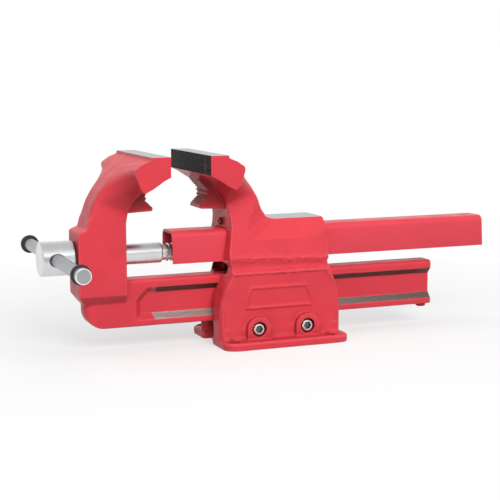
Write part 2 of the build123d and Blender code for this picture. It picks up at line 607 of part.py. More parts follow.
def guide_screw(x):
    """Socket-head screw through both legs, below the rail."""
    seat = -(GUIDE_BOSS_FACE - GUIDE_HEAD_HEIGHT - 1.0)
    outer = seat - GUIDE_HEAD_HEIGHT
    head = rod_y(GUIDE_HEAD_DIAMETER, x, outer, seat, GUIDE_SCREW_Z)
    head = chamfer(head.edges().group_by(Axis.Y)[0], 0.8)
    head -= hexagon_y(GUIDE_HEX, x, outer - 1.0, outer + GUIDE_HEX_DEPTH, GUIDE_SCREW_Z)
    return head + rod_y(GUIDE_SCREW_DIAMETER, x, seat - 1.0, GUIDE_BOSS_FACE - 0.5, GUIDE_SCREW_Z)


def guide_nut(x):
    """Hexagon nut on the far end of a leg screw."""
    seat = GUIDE_BOSS_FACE - GUIDE_NUT_HEIGHT - 1.0
    nut = hexagon_y(GUIDE_NUT_WIDTH, x, seat, seat + GUIDE_NUT_HEIGHT, GUIDE_SCREW_Z)
    return nut - rod_y(GUIDE_SCREW_DIAMETER, x, seat - 1.0, seat + 2 * GUIDE_NUT_HEIGHT, GUIDE_SCREW_Z)


def nut_screw(x):
    """Screw up through the body's floor into the nut."""
    head = rod_z(NUT_SCREW_HEAD, x, 0.0, TUNNEL_TOP - NUT_SCREW_HEAD_HEIGHT, TUNNEL_TOP)
    return head + rod_z(NUT_SCREW_DIAMETER, x, 0.0, TUNNEL_TOP - 1.0, COVER_BOTTOM - COVER_CLEARANCE)


def cover_screw():
    """Small screw in the throat, just above the cover channel."""
    front = REAR_FACE_X + THROAT_DEPTH
    head = rod_x(COVER_SCREW_HEAD, front - COVER_SCREW_HEAD_HEIGHT, front, COVER_SCREW_Z)
    head = chamfer(head.edges().group_by(Axis.X)[0], 0.8)
    head -= rod_x(4.0, front - COVER_SCREW_HEAD_HEIGHT - 1.0, front - 1.5, COVER_SCREW_Z)
    return head + rod_x(COVER_SCREW_DIAMETER, front - 0.5, front + COVER_SCREW_LENGTH, COVER_SCREW_Z)


def tommy_bar():
    """Bar through the spindle head, turned down at both ends for its rings and caps."""
    half = BAR_LENGTH / 2
    neck = RING_WIDTH + CAP_BORE_DEPTH
    shoulder = half - RING_WIDTH
    tip = shoulder + neck
    bar = rod_y(BAR_DIAMETER, BAR_X, BAR_OFFSET_Y - shoulder, BAR_OFFSET_Y + shoulder, SPINDLE_Z)
    return bar + rod_y(NECK_DIAMETER, BAR_X, BAR_OFFSET_Y - tip, BAR_OFFSET_Y + tip, SPINDLE_Z)


def buffer_ring(side):
    """Rubber ring against the bar's shoulder."""
    inner = BAR_OFFSET_Y + side * (BAR_LENGTH / 2 - RING_WIDTH)
    outer = BAR_OFFSET_Y + side * BAR_LENGTH / 2
    ring = rod_y(RING_DIAMETER, BAR_X, min(inner, outer), max(inner, outer), SPINDLE_Z)
    ring = chamfer(ring.edges(), 1.5)
    return ring - rod_y(NECK_DIAMETER, BAR_X, min(inner, outer) - 1.0, max(inner, outer) + 1.0, SPINDLE_Z)


def bar_cap(side):
    """Steel cap pressed on the end of the bar, holding the ring."""
    inner = BAR_OFFSET_Y + side * BAR_LENGTH / 2
    outer = inner + side * (CAP_BORE_DEPTH + CAP_RIM)
    cap = rod_y(CAP_DIAMETER, BAR_X, min(inner, outer), max(inner, outer), SPINDLE_Z)
    cap = chamfer(cap.edges().sort_by(Axis.Y)[-1 if side > 0 else 0], 1.2)
    bore_end = inner + side * CAP_BORE_DEPTH
    return cap - rod_y(NECK_DIAMETER, BAR_X, min(inner, bore_end), max(inner, bore_end), SPINDLE_Z)


def main():
    """Builds every piece and writes it to its own file."""
    nodes = {
        "rear_body": rear_body(),
        "rear_jaw_plate": to_rear(jaw_plate()),
        "rear_jaw_dowels": to_rear(jaw_dowels()),
        "front_jaw": front_jaw(),
        "front_jaw_plate": to_front(jaw_plate()),
        "front_jaw_dowels": to_front(jaw_dowels()),
        "rail_stop": rail_stop(),
        "spindle": spindle(),
        "spindle_pin": spindle_pin(),
        "thrust_washer": thrust_washer(),
        "spindle_nut": spindle_nut(),
        "spindle_cover": spindle_cover(),
        "cover_screw": cover_screw(),
        "tommy_bar": tommy_bar(),
        "buffer_ring_near": buffer_ring(-1),
        "buffer_ring_far": buffer_ring(1),
        "bar_cap_near": bar_cap(-1),
        "bar_cap_far": bar_cap(1),
    }
    for place, x in zip(("front", "rear"), GUIDE_SCREW_X):
        nodes["guide_screw_" + place] = guide_screw(x)
        nodes["guide_nut_" + place] = guide_nut(x)
    for place, x in zip(("front", "rear"), nut_foot_screws()):
        nodes["nut_screw_" + place] = nut_screw(x)
    os.makedirs("parts", exist_ok=True)
    for name, shape in nodes.items():
        export_step(shape, "parts/" + name + ".step")


main()
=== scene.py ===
"""Bench vise with pipe jaws: the look of every piece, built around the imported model."""

import math

import bmesh
import bpy
import numpy as np
from bpy.props import FloatProperty, FloatVectorProperty, IntProperty, PointerProperty
from mathutils import Euler, Matrix, Vector, noise


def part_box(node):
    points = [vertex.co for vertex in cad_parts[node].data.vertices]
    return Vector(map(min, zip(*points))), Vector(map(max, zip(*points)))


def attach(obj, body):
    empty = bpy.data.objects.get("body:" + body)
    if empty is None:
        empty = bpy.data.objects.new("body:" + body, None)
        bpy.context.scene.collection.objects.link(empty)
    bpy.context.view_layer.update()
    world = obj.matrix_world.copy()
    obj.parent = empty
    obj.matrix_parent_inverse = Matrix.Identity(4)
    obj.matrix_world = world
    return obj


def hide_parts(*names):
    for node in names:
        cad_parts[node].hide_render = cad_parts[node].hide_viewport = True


bl_info = {
    "name": "Bench vise with pipe jaws",
    "version": (1, 0, 0),
    "blender": (4, 5, 0),
    "location": "3D View > Sidebar > Vise",
    "description": "Builds the forgings, steel pieces, finishes and studio of a bench vise",
    "category": "Object",
}

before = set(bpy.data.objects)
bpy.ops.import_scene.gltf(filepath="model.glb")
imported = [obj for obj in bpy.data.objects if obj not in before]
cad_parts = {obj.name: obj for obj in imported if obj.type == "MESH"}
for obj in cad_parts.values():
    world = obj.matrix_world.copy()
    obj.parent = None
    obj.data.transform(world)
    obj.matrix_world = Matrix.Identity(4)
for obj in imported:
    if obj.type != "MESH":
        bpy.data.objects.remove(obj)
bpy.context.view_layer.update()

MM = 0.001

ALONG = Vector((1, 0, 0))
ACROSS = Vector((0, 1, 0))


def middle_of(node):
    """The middle of a CAD node's box."""
    low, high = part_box(node)
    return (low + high) / 2


# Places read from the frame
SPINDLE_LOW, SPINDLE_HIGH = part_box("spindle")
SPINDLE_Z = middle_of("spindle").z
JAW_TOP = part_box("rear_body")[1].z
REAR_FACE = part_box("rear_jaw_plate")[0].x
FRONT_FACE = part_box("front_jaw_plate")[1].x
BAR_X, BAR_Y = middle_of("tommy_bar").xy

# Creases of forged, turned and cut pieces and of the spindle's head, in degrees
FORGED_CREASE = 38.0
TURNED_CREASE = 14.0
CUT_CREASE = 25.0
HEAD_CREASE = 12.0

# Forgings: how far a cutter reaches, how much is filled on before it is cut back, and what is machined
FAR = 200 * MM
SPARE = 5 * MM
WING_LOW = 150 * MM
LIP_DEPTH = 22 * MM
ANVIL_TOP = 150 * MM
ANVIL_FRONT = 4 * MM
ANVIL_REAR = 67 * MM
ANVIL_HALF = 24 * MM
RAIL_HALF = 14 * MM
GROOVE_LOWER = (35.3 * MM, 42.7 * MM)
GROOVE_UPPER = (67.3 * MM, 74.7 * MM)
LOWER_STRIP_START = -146 * MM
UPPER_STRIP_START = -147 * MM
RIDGE_Z = 104.9 * MM
RIDGE_FALL = 0.04
PANEL_TOP = 88 * MM
PANEL_FACE = 46.5 * MM
MOUTH_BACK = -47 * MM
MOUTH_HALF = 29.5 * MM
MOUTH_LOW = 85.6 * MM
MOUTH_HIGH = 99.6 * MM

# Raised frame on the flank, in millimetres: the corners of its right half, each with the way in along Z, and
# the bead's section as distances inward and out of the flank
FRAME_HALF = [(36.6, 71.2, -1), (43.1, 56.5, 0), (43.1, 45.2, 1)]
BEAD_SECTION = ((0.0, -1.5), (0.0, 1.2), (0.4, 1.6), (1.7, 1.6), (2.1, 1.2), (2.1, -1.5))

# Skin of the forgings: noise in waves per metre, height of the lumps and share of the faces kept
WAVES = 38.0
RIPPLES = 120.0
LUMPS = 210.0
LUMP_HEIGHT = 1.3 * MM
FACES_KEPT = 0.27

# Wing ends and pipe jaws, as millimetres behind the jaw face and above the bench
WING_END = [(-5, 237), (22, 237), (22, 229), (32, 225), (41.5, 218.6), (42, 214), (36, 197),
            (31, 191.3), (20, 197), (9, 204.5), (0, 209), (-5, 209)]
PIPE_HALF = 19 * MM
PIPE_UPPER = ((3.4, 200.0), (14.5, 187.2))
PIPE_LOWER = ((6.0, 170.5), (14.5, 179.0))
PIPE_FILL = [[(1.1, 198.0), (12.2, 185.2), (20, 185.2), (20, 200.0)],
             [(12.4, 181.1), (3.9, 172.6), (6.0, 170.5), (20, 170.5), (20, 181.1)]]

# Spindle, along X
JOURNAL_END = -134 * MM
THREAD_START = -131 * MM
THREAD_END = 195 * MM
JOURNAL_RADIUS = 12.25 * MM
THREAD_RADIUS = 11 * MM
THREAD_CORE = 9.4 * MM
HEAD_RADIUS = 20.25 * MM
HEAD_BACK = -241.6 * MM
PIN_GROOVE = (-208.1 * MM, -201.9 * MM)
THREAD_STEPS = 40

# Tommy bar with its rings and caps
BAR_HOLE_RADIUS = 8 * MM
BAR_RADIUS = 7.5 * MM
BAR_NECK = 6 * MM
BAR_NECK_LENGTH = 14 * MM
RING_RIM = 3.0 * MM

# Colours of paint, grease and dirt, and of painted highlights and painted shade; pairs are the dark and the
# light of their streaks
# Lighter paint on edges: partly thinner paint, partly a painted highlight
EDGE_PAINT_HIGHLIGHT = (0.86, 0.17, 0.21)
# Darker red round the pipe teeth: partly rubbed paint, partly painted shade under the wings
PIPE_PAINT_WORN_SHADED = (0.36, 0.024, 0.034)
# Painted highlight: the cover's sides are lightened towards this colour
COVER_SIDE_HIGHLIGHT = (0.80, 0.085, 0.115)
CLEAN_STRIP = ((0.34, 0.265, 0.235), (0.50, 0.42, 0.38))
GREASY_STRIP = ((0.13, 0.088, 0.074), (0.22, 0.16, 0.14))
# Bare strip darkened as painted shade: the down-facing upper groove strip and the ridges in the tunnel
SHADED_STRIP = ((0.095, 0.035, 0.034), (0.165, 0.075, 0.066))
TOOTH_TIPS = (0.09, 0.066, 0.068)
RUST = (0.20, 0.060, 0.050)
OVERSPRAY = (0.11, 0.008, 0.012)
RUBBER = ((0.012, 0.012, 0.013), (0.030, 0.030, 0.032))

# Camera that the photograph was taken from
CAMERA_PLACE = Vector((-0.5796, -1.44006, 0.32887))
CAMERA_AZIMUTH = math.radians(21.27)
CAMERA_ELEVATION = math.radians(8.071)
CAMERA_ROLL = math.radians(-0.345)
CAMERA_LENS = 91.46
SENSOR_WIDTH = 36.0


class VisePaint(bpy.types.PropertyGroup):
    """Colours of the enamel and of the steel."""

    enamel: FloatVectorProperty(
        name="Enamel", description="Colour of the red enamel", subtype="COLOR",
        size=3, min=0.0, max=1.0, default=(0.74, 0.052, 0.072))
    steel: FloatVectorProperty(
        name="Steel", description="Colour of the turned and ground steel", subtype="COLOR",
        size=3, min=0.0, max=1.0, default=(0.62, 0.63, 0.64))
    facing: FloatVectorProperty(
        name="Jaw facing", description="Colour of the hardened jaw faces", subtype="COLOR",
        size=3, min=0.0, max=1.0, default=(0.012, 0.0085, 0.009))
    enamel_roughness: FloatProperty(
        name="Enamel roughness", description="How matt the enamel is", default=0.38, min=0.0, max=1.0,
        subtype="FACTOR")


class ViseShape(bpy.types.PropertyGroup):
    """Sizes of the details that only the look needs."""

    voxel: FloatProperty(
        name="Forging grain", description="Cell size that the forgings are rounded with",
        default=0.9 * MM, min=0.6 * MM, max=4 * MM, unit="LENGTH")
    rounding: IntProperty(
        name="Edge rounding", description="How often the forged edges are smoothed", default=6, min=1, max=60)
    blending: IntProperty(
        name="Arm blending", description="How often the wings are smoothed into the arm",
        default=90, min=1, max=200)
    forging_waves: FloatProperty(
        name="Forging waves", description="Height of the unevenness of the forged skin",
        default=0.22 * MM, min=0.0, max=2 * MM, unit="LENGTH")
    tooth_pitch: FloatProperty(
        name="Jaw tooth pitch", description="Distance between the teeth of the jaw faces",
        default=2.0 * MM, min=0.8 * MM, max=5 * MM, unit="LENGTH")
    thread_pitch: FloatProperty(
        name="Thread pitch", description="Travel for one turn of the spindle",
        default=5 * MM, min=2 * MM, max=10 * MM, unit="LENGTH")


class ViseStudio(bpy.types.PropertyGroup):
    """Light around the vise."""

    ambient: FloatProperty(
        name="Ambient", description="Light from all round", default=0.27, min=0.0, max=2.0)
    key_power: FloatProperty(
        name="Key light", description="Power of the large light in front of the vise",
        default=54.0, min=0.0, max=200.0, unit="POWER")


def sizes():
    """The sizes of the details."""
    return bpy.context.scene.vise_shape


def colours():
    """The colours of the finishes."""
    return bpy.context.scene.vise_paint


def math_step(operation, swapped=False):
    """A Math node, as one of Python's operators."""
    def step(self, other=None):
        left, right = (other, self) if swapped else (self, other)
        return self.network.node("ShaderNodeMath", {"operation": operation}, {0: left, 1: right})
    return step


class Wire:
    """A value in a shader, which sums and products can be written with."""

    def __init__(self, network, socket):
        self.network = network
        self.socket = socket

    __add__ = math_step("ADD")
    __sub__ = math_step("SUBTRACT")
    __rsub__ = math_step("SUBTRACT", swapped=True)
    __mul__ = math_step("MULTIPLY")
    __rmul__ = math_step("MULTIPLY", swapped=True)
    __gt__ = math_step("GREATER_THAN")
    __lt__ = math_step("LESS_THAN")
    __abs__ = math_step("ABSOLUTE")
    highest = math_step("MAXIMUM")


class Network:
    """The nodes of a material or of the world."""

    def __init__(self, tree):
        self.tree = tree

    def node(self, kind, settings=None, values=None, output=0):
        """Adds a node: its settings first, then its values and links, and returns one output."""
        made = self.tree.nodes.new(kind)
        for setting, value in (settings or {}).items():
            setattr(made, setting, value)
        for socket, value in (values or {}).items():
            if isinstance(value, Wire):
                self.tree.links.new(value.socket, made.inputs[socket])
            elif value is not None:
                made.inputs[socket].default_value = value
        return None if output is None else Wire(self, made.outputs[output])


class Finish(Network):
    """A material and the nodes that make it."""

    def __init__(self, name, **constants):
        self.material = bpy.data.materials.new(name)
        self.material.use_nodes = True
        super().__init__(self.material.node_tree)
        self.shader = self.tree.nodes["Principled BSDF"]
        for socket, value in constants.items():
            self.shader.inputs[socket.replace("_", " ").title().replace("Ior", "IOR")].default_value = value

    def place(self):
        """The point on the piece, in metres."""
        return self.node("ShaderNodeTexCoord", output="Object")

    def facing(self):
        """The direction that the surface faces."""
        return self.node("ShaderNodeTexCoord", output="Normal")

    def split(self, vector):
        """The X, Y and Z of a vector."""
        first = self.node("ShaderNodeSeparateXYZ", values={0: vector})
        parts = first.socket.node.outputs
        return [Wire(self, parts[axis]) for axis in range(3)]

    def scaled(self, vector, factors):
        """A vector times another, axis by axis."""
        return self.node("ShaderNodeVectorMath", {"operation": "MULTIPLY"}, {0: vector, 1: factors})

    def grain(self, vector, scale, detail=3.0, roughness=0.55):
        """Noise from 0 to 1."""
        values = {"Vector": vector, "Scale": scale, "Detail": detail, "Roughness": roughness}
        return self.node("ShaderNodeTexNoise", values=values)

    def spread(self, value, low, high, to_low=0.0, to_high=1.0):
        """A value carried from one range to another, held at its ends."""
        values = {"Value": value, "From Min": low, "From Max": high, "To Min": to_low, "To Max": to_high}
        return self.node("ShaderNodeMapRange", {"clamp": True}, values)

    def between(self, value, low, high):
        """1 where a value lies between two limits, else 0."""
        return (value > low) * (value < high)

    def blended(self, factor, first, second):
        """A colour mixed from two."""
        values = {0: factor, 6: padded(first), 7: padded(second)}
        return self.node("ShaderNodeMix", {"data_type": "RGBA"}, values, output=2)

    def bump(self, height, distance, strength=1.0, after=None):
        """A bumped normal."""
        values = {"Height": height, "Distance": distance, "Strength": strength, "Normal": after}
        return self.node("ShaderNodeBump", values=values)

    def feed(self, **wires):
        """Links values to the shader."""
        for socket, wire in wires.items():
            self.tree.links.new(wire.socket, self.shader.inputs[socket.replace("_", " ").title()])
        return self.material

    def show(self, shader):
        """Makes a shader the material's surface."""
        self.tree.links.new(shader.socket, self.tree.nodes["Material Output"].inputs["Surface"])
        return self.material


def padded(colour):
    """A colour with its alpha, or a link as it is."""
    if isinstance(colour, Wire):
        return colour
    return (*colour, 1.0)


def tint(colour, factor):
    """A colour made lighter or darker."""
    return tuple(channel * factor for channel in colour)


def steel_tint(factor):
    """The steel's colour made lighter or darker."""
    return tint(tuple(colours().steel), factor)


def enamel_colour(finish, place):
    """Red enamel with faint cloudiness, lighter on edges as thinner paint and as a painted highlight, and
    darkened in recesses as painted shade.
    """
    base = tuple(colours().enamel)
    clouds = finish.grain(place, 22.0, 4.0)
    edge = finish.node("ShaderNodeAttribute", {"attribute_name": "edge"}, output="Fac")
    colour = finish.blended(finish.spread(clouds, 0.35, 0.65), tint(base, 0.95), tint(base, 1.04))
    # Edges are lightened: partly thinner paint, partly a painted highlight
    lighter = finish.spread(edge, 0.2, 0.7, 0.0, 0.2)
    colour = finish.blended(lighter, colour, EDGE_PAINT_HIGHLIGHT)
    # Painted shade: the colour darkens where the piece's own shape hems it in, such as the tunnel and under
    # the wings
    recess = {"only_local": True, "samples": 8}
    open_sky = finish.node("ShaderNodeAmbientOcclusion", recess, {"Distance": 80 * MM}, output="AO")
    return finish.blended(finish.spread(open_sky, 0.10, 0.88), tint(base, 0.2), colour)


def enamel_bump(finish, place, after=None):
    """Orange peel over the slight unevenness of a forging."""
    peel = finish.grain(place, 520.0, 2.0)
    skin = finish.grain(place, 110.0, 4.0)
    return finish.bump(peel * 0.4 + skin, 0.25 * MM, 0.35, after)


def forging_finish(name, machined):
    """Enamel over a forging, with bare machined faces where a mask says so."""
    finish = Finish(name, specular_ior_level=0.24)
    place = finish.place()
    mask, oily, strip_shade_mask = machined(finish, place)
    # Darker red round the pipe teeth: partly rubbed paint, partly painted shade
    pipe_darkening = pipe_wear_and_shade(finish, place)
    colour = finish.blended(pipe_darkening, enamel_colour(finish, place), PIPE_PAINT_WORN_SHADED)
    marks = finish.grain(finish.scaled(place, (90.0, 90.0, 900.0)), 1.0, 5.0, 0.6)
    streaks = finish.spread(marks, 0.3, 0.7)
    bare = finish.blended(streaks, steel_tint(0.70), steel_tint(0.92))
    strips = (CLEAN_STRIP, GREASY_STRIP, SHADED_STRIP)
    clean, greasy, strip_shade = (finish.blended(streaks, *pair) for pair in strips)
    along = finish.spread(finish.split(place)[0], -120 * MM, 200 * MM)
    bare = finish.blended(oily, bare, finish.blended(along, clean, greasy))
    # Painted shade on the down-facing groove strip and the ridges in the tunnel
    bare = finish.blended(strip_shade_mask, bare, strip_shade)
    middling = colours().enamel_roughness
    paint_rough = finish.spread(finish.grain(place, 60.0), 0.3, 0.7, middling - 0.05, middling + 0.06)
    rough = paint_rough + mask * (finish.spread(marks, 0.3, 0.7, 0.34, 0.46) - paint_rough)
    milled = finish.bump(marks * mask, 0.05 * MM, 0.5)
    return finish.feed(
        base_color=finish.blended(mask, colour, bare), roughness=rough, metallic=mask * (0.9 - 0.5 * oily),
        normal=enamel_bump(finish, place, milled))


def pipe_wear_and_shade(finish, place):
    """Where the paint of the pipe jaws is darkened round their teeth: partly rubbed paint, partly painted
    shade under the wings.
    """
    x, y, z = finish.split(place)
    teeth = (abs(y) < PIPE_HALF + 0.3 * MM) * finish.between(z, 168.5 * MM, 201 * MM)
    middle = (FRONT_FACE + REAR_FACE) / 2
    half_gap = (REAR_FACE - FRONT_FACE) / 2
    gap = finish.spread(abs(x - middle), half_gap + 8 * MM, half_gap + 22 * MM, 1.0, 0.0)
    patchy = finish.spread(finish.grain(place, 160.0, 3.0), 0.3, 0.6, 0.35, 1.0)
    return teeth * gap * patchy


def rear_machined(finish, place):
    """Bare faces of the fixed forging: jaw top, anvil, underside and the guide's ridges."""
    x, y, z = finish.split(place)
    up = finish.split(finish.facing())[2]
    jaw_top = z > JAW_TOP - 0.12 * MM
    level = finish.between(z, ANVIL_TOP - 0.2 * MM, ANVIL_TOP + 0.2 * MM)
    anvil = level * (x > ANVIL_FRONT - MM) * (up > 0.8)
    underside = z < 0.05 * MM
    inside = abs(y) < RAIL_HALF + 0.6 * MM
    ridge = inside * (finish.between(z, *GROOVE_LOWER) + finish.between(z, *GROOVE_UPPER))
    # The ridges in the tunnel serve as the grease mask and as the painted shade mask
    return jaw_top.highest(anvil).highest(underside).highest(ridge), ridge, ridge


def front_machined(finish, place):
    """Bare faces of the sliding forging: jaw top and the strips in the guide's grooves."""
    x, y, z = finish.split(place)
    jaw_top = z > JAW_TOP - 0.12 * MM
    slope = abs(y) < RAIL_HALF - 0.3 * MM
    slant = (z - GROOVE_LOWER[0]) * 0.35
    lower = slope * finish.between(z, *GROOVE_LOWER) * (x > LOWER_STRIP_START - slant)
    upper = slope * finish.between(z, *GROOVE_UPPER)
    upper = upper * finish.spread(x, UPPER_STRIP_START - 3 * MM, UPPER_STRIP_START + 5 * MM)
    # The upper groove strip faces down; the third mask darkens it as painted shade
    return jaw_top.highest(lower).highest(upper), lower.highest(upper), upper


def steel_finish(name, factors, colour, rough, metallic=1.0, distance=0.008 * MM):
    """Turned or ground steel with tool marks: noise drawn out along the cut."""
    finish = Finish(name, metallic=metallic)
    place = finish.place()
    marks = finish.grain(finish.scaled(place, factors), 1.0, 5.0, 0.6)
    stains = finish.grain(place, 45.0, 3.0)
    clean = finish.blended(finish.spread(marks, 0.25, 0.75), tint(colour, 0.92), tint(colour, 1.08))
    stained = finish.blended(finish.spread(stains, 0.5, 0.8, 0.0, 0.35), clean, tint(colour, 0.8))
    return finish.feed(
        base_color=stained, normal=finish.bump(marks, distance, 0.4),
        roughness=finish.spread(marks + stains * 0.5, 0.5, 1.0, rough - 0.05, rough + 0.09))


def facing_finish():
    """Hardened jaw face: black oxide, rubbed bright on the tooth tips."""
    finish = Finish("hardened_facing", metallic=0.1, specular_ior_level=0.1)
    place = finish.place()
    base = tuple(colours().facing)
    spots = finish.grain(place, 180.0, 4.0)
    tips = finish.node("ShaderNodeAttribute", {"attribute_name": "tip"}, output="Fac")
    colour = finish.blended(finish.spread(spots, 0.35, 0.7), base, tint(base, 1.9))
    colour = finish.blended(finish.spread(tips, 0.55, 1.0, 0.0, 0.2), colour, TOOTH_TIPS)
    y = finish.split(place)[1]
    upright = finish.grain(finish.scaled(place, (1.0, 260.0, 45.0)), 1.0, 3.0)
    rust = finish.between(y, -57 * MM, -49 * MM) * finish.spread(upright, 0.42, 0.6, 0.0, 0.75)
    colour = finish.blended(rust, colour, RUST)
    spray = finish.spread(abs(y), 66 * MM, 75 * MM, 0.0, 0.8)
    colour = finish.blended(spray, colour, OVERSPRAY)
    return finish.feed(
        base_color=colour, roughness=finish.spread(spots, 0.3, 0.7, 0.38, 0.55),
        normal=finish.bump(spots, 0.06 * MM, 0.5))


def rubber_finish():
    """Black rubber of the buffer rings."""
    finish = Finish("buffer_rubber")
    place = finish.place()
    dust = finish.grain(place, 260.0, 4.0)
    colour = finish.blended(finish.spread(dust, 0.4, 0.75), *RUBBER)
    return finish.feed(
        base_color=colour, roughness=finish.spread(dust, 0.3, 0.7, 0.5, 0.68),
        normal=finish.bump(dust, 0.05 * MM, 0.5))


def placed(name, data):
    """An object in the scene."""
    made = bpy.data.objects.new(name, data)
    bpy.context.scene.collection.objects.link(made)
    return made


def made_object(name, bm, *materials):
    """A mesh object from a bmesh, in the scene."""
    mesh = bpy.data.meshes.new(name)
    bm.to_mesh(mesh)
    bm.free()
    for material in materials:
        mesh.materials.append(material)
    return placed(name, mesh)


def closed_object(name, bm, crease, *materials):
    """A mesh object whose faces all look outward, shaded with creases."""
    bmesh.ops.recalc_face_normals(bm, faces=bm.faces)
    piece = made_object(name, bm, *materials)
    shade(piece, crease)
    return piece


def modified(piece, kind, **settings):
    """Replaces a piece's mesh with what one modifier makes of it."""
    step = piece.modifiers.new(kind.lower(), kind)
    for setting, value in settings.items():
        setattr(step, setting, value)
    bpy.context.view_layer.update()
    graph = bpy.context.evaluated_depsgraph_get()
    mesh = bpy.data.meshes.new_from_object(piece.evaluated_get(graph), preserve_all_data_layers=True,
                                           depsgraph=graph)
    old = piece.data
    piece.modifiers.clear()
    piece.data = mesh
    mesh.name = old.name + "_shape"
    bpy.data.meshes.remove(old)


def shade(piece, crease=35.0):
    """Smooth shading with creases where faces meet at more than an angle."""
    mesh = piece.data
    mesh.polygons.foreach_set("use_smooth", [True] * len(mesh.polygons))
    mesh.set_sharp_from_angle(angle=math.radians(crease))
    mesh.update()


def bevelled(piece, width, segments=2):
    """Breaks the edges of a piece."""
    modified(piece, "BEVEL", width=width, segments=segments, limit_method="ANGLE",
             angle_limit=math.radians(30.0), use_clamp_overlap=True)
    shade(piece)
    return piece


def add_wall(bm, first, second):
    """Faces between two rings of as many points."""
    for here in range(len(first)):
        after = (here + 1) % len(first)
        bm.faces.new((first[here], first[after], second[after], second[here]))


def add_prism(bm, outline, half_width, middle=0.0):
    """A side outline, given as X and Z, carried across the vise."""
    ends = [[bm.verts.new((x, middle + side * half_width, z)) for x, z in outline] for side in (-1, 1)]
    add_wall(bm, *ends)
    bm.faces.new(ends[0][::-1])
    bm.faces.new(ends[1])
    bmesh.ops.recalc_face_normals(bm, faces=bm.faces)


def prism_object(outline, half_width):
    """A prism that is used to cut with."""
    bm = bmesh.new()
    add_prism(bm, outline, half_width)
    return made_object("cutter", bm)


def add_block(bm, corner, opposite):
    """A box between two opposite corners."""
    low, high = (Vector(ends) for ends in zip(*map(sorted, zip(corner, opposite))))
    sides = Matrix.Diagonal((*(high - low), 1.0))
    bmesh.ops.create_cube(bm, size=1.0, matrix=Matrix.Translation((low + high) / 2) @ sides)


def carve(piece, cutter, operation="DIFFERENCE", keep_cutter=False):
    """Cuts a piece with another solid, or keeps what they share."""
    modified(piece, "BOOLEAN", operation=operation, object=cutter, solver="MANIFOLD")
    if not keep_cutter:
        bpy.data.objects.remove(cutter)


def block_object(corner, opposite):
    """A box that is used to cut with."""
    bm = bmesh.new()
    add_block(bm, corner, opposite)
    return made_object("cutter", bm)


def turned(name, axis, centre, profile, *materials, segments=96):
    """A turned piece: the profile holds distances along the axis and radii, and closes on the axis."""
    out = axis.cross(Vector((0, 0, 1))).normalized()
    up = axis.cross(out)
    bm = bmesh.new()
    rings = []
    for distance, radius in profile:
        middle = centre + axis * distance
        if radius == 0:
            rings.append([bm.verts.new(middle)])
            continue
        turns = [math.tau * step / segments for step in range(segments)]
        rings.append([bm.verts.new(middle + (out * math.cos(turn) + up * math.sin(turn)) * radius)
                      for turn in turns])
    for first, second in zip(rings, rings[1:] + rings[:1]):
        for step in range(segments):
            after = (step + 1) % segments
            corners = [first[step % len(first)], first[after % len(first)],
                       second[after % len(second)], second[step % len(second)]]
            unique = list(dict.fromkeys(corners))
            if len(unique) > 2:
                bm.faces.new(unique)
    return closed_object(name, bm, TURNED_CREASE, *materials)


def seat(piece, body, slot, *nodes):
    """Ties a piece to its body and hides the nodes that it stands for; the slot argument is not used."""
    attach(piece, body)
    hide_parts(*nodes)


def cad_copy(name, *nodes):
    """A mesh object holding copies of CAD solids, with their seams closed."""
    bm = bmesh.new()
    for node in nodes:
        bm.from_mesh(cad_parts[node].data)
    bmesh.ops.remove_doubles(bm, verts=bm.verts, dist=0.002 * MM)
    bmesh.ops.dissolve_limit(bm, angle_limit=math.radians(0.5), verts=bm.verts, edges=bm.edges)
    return made_object(name, bm)


def dressed_copy(name, node, material, body, slot, width, segments=2):
    """A CAD piece as it is, with its edges broken by a width in millimetres."""
    piece = cad_copy(name, node)
    piece.data.materials.append(material)
    bevelled(piece, width * MM, segments)
    seat(piece, body, slot, node)


def point_values(mesh, name):
    """A vector of every point of a mesh, as rows."""
    rows = np.empty(len(mesh.vertices) * 3, np.float32)
    mesh.vertices.foreach_get(name, rows)
    return rows.reshape(-1, 3)


def neighbour_pairs(mesh):
    """Every point with each of its neighbours, as rows of two numbers."""
    ends = np.empty(len(mesh.edges) * 2, np.int32)
    mesh.edges.foreach_get("vertices", ends)
    ends = ends.reshape(-1, 2)
    return np.concatenate([ends, ends[:, ::-1]])


def middle_of_neighbours(place, both, share):
    """The mean place of each point's neighbours."""
    sums = [np.bincount(both[:, 0], place[both[:, 1], axis], len(place)) for axis in range(3)]
    return np.stack(sums, 1) / share[:, None]


def softened(mesh, weight, rounds):
    """Smooths the points of a mesh, each by its own weight."""
    both = neighbour_pairs(mesh)
    both = both[weight[both[:, 0]] > 0]
    share = np.bincount(both[:, 0], minlength=len(weight)).clip(1)
    place = point_values(mesh, "co").astype(np.float64)
    for _ in range(rounds):
        place += 0.5 * weight[:, None] * (middle_of_neighbours(place, both, share) - place)
    mesh.vertices.foreach_set("co", place.astype(np.float32).ravel())
    mesh.update()


def window(values, low, high, soft):
    """1 between two limits, falling to 0 over a soft border inside them."""
    return ((values - low) / soft).clip(0, 1) * ((high - values) / soft).clip(0, 1)


def edge_measure(mesh, voxel):
    """Marks each point with how far it stands out from its neighbours, from 0 to 1."""
    count = len(mesh.vertices)
    place, normal = point_values(mesh, "co"), point_values(mesh, "normal")
    both = neighbour_pairs(mesh)
    share = np.bincount(both[:, 0], minlength=count).clip(1)
    around = middle_of_neighbours(place, both, share)
    out = ((place - around) * normal).sum(1) / voxel
    for _ in range(3):
        out = 0.5 * out + 0.5 * np.bincount(both[:, 0], out[both[:, 1]], count) / share
    layer = mesh.attributes.new("edge", "FLOAT", "POINT")
    layer.data.foreach_set("value", (out * 12.0).clip(0, 1).astype(np.float32))


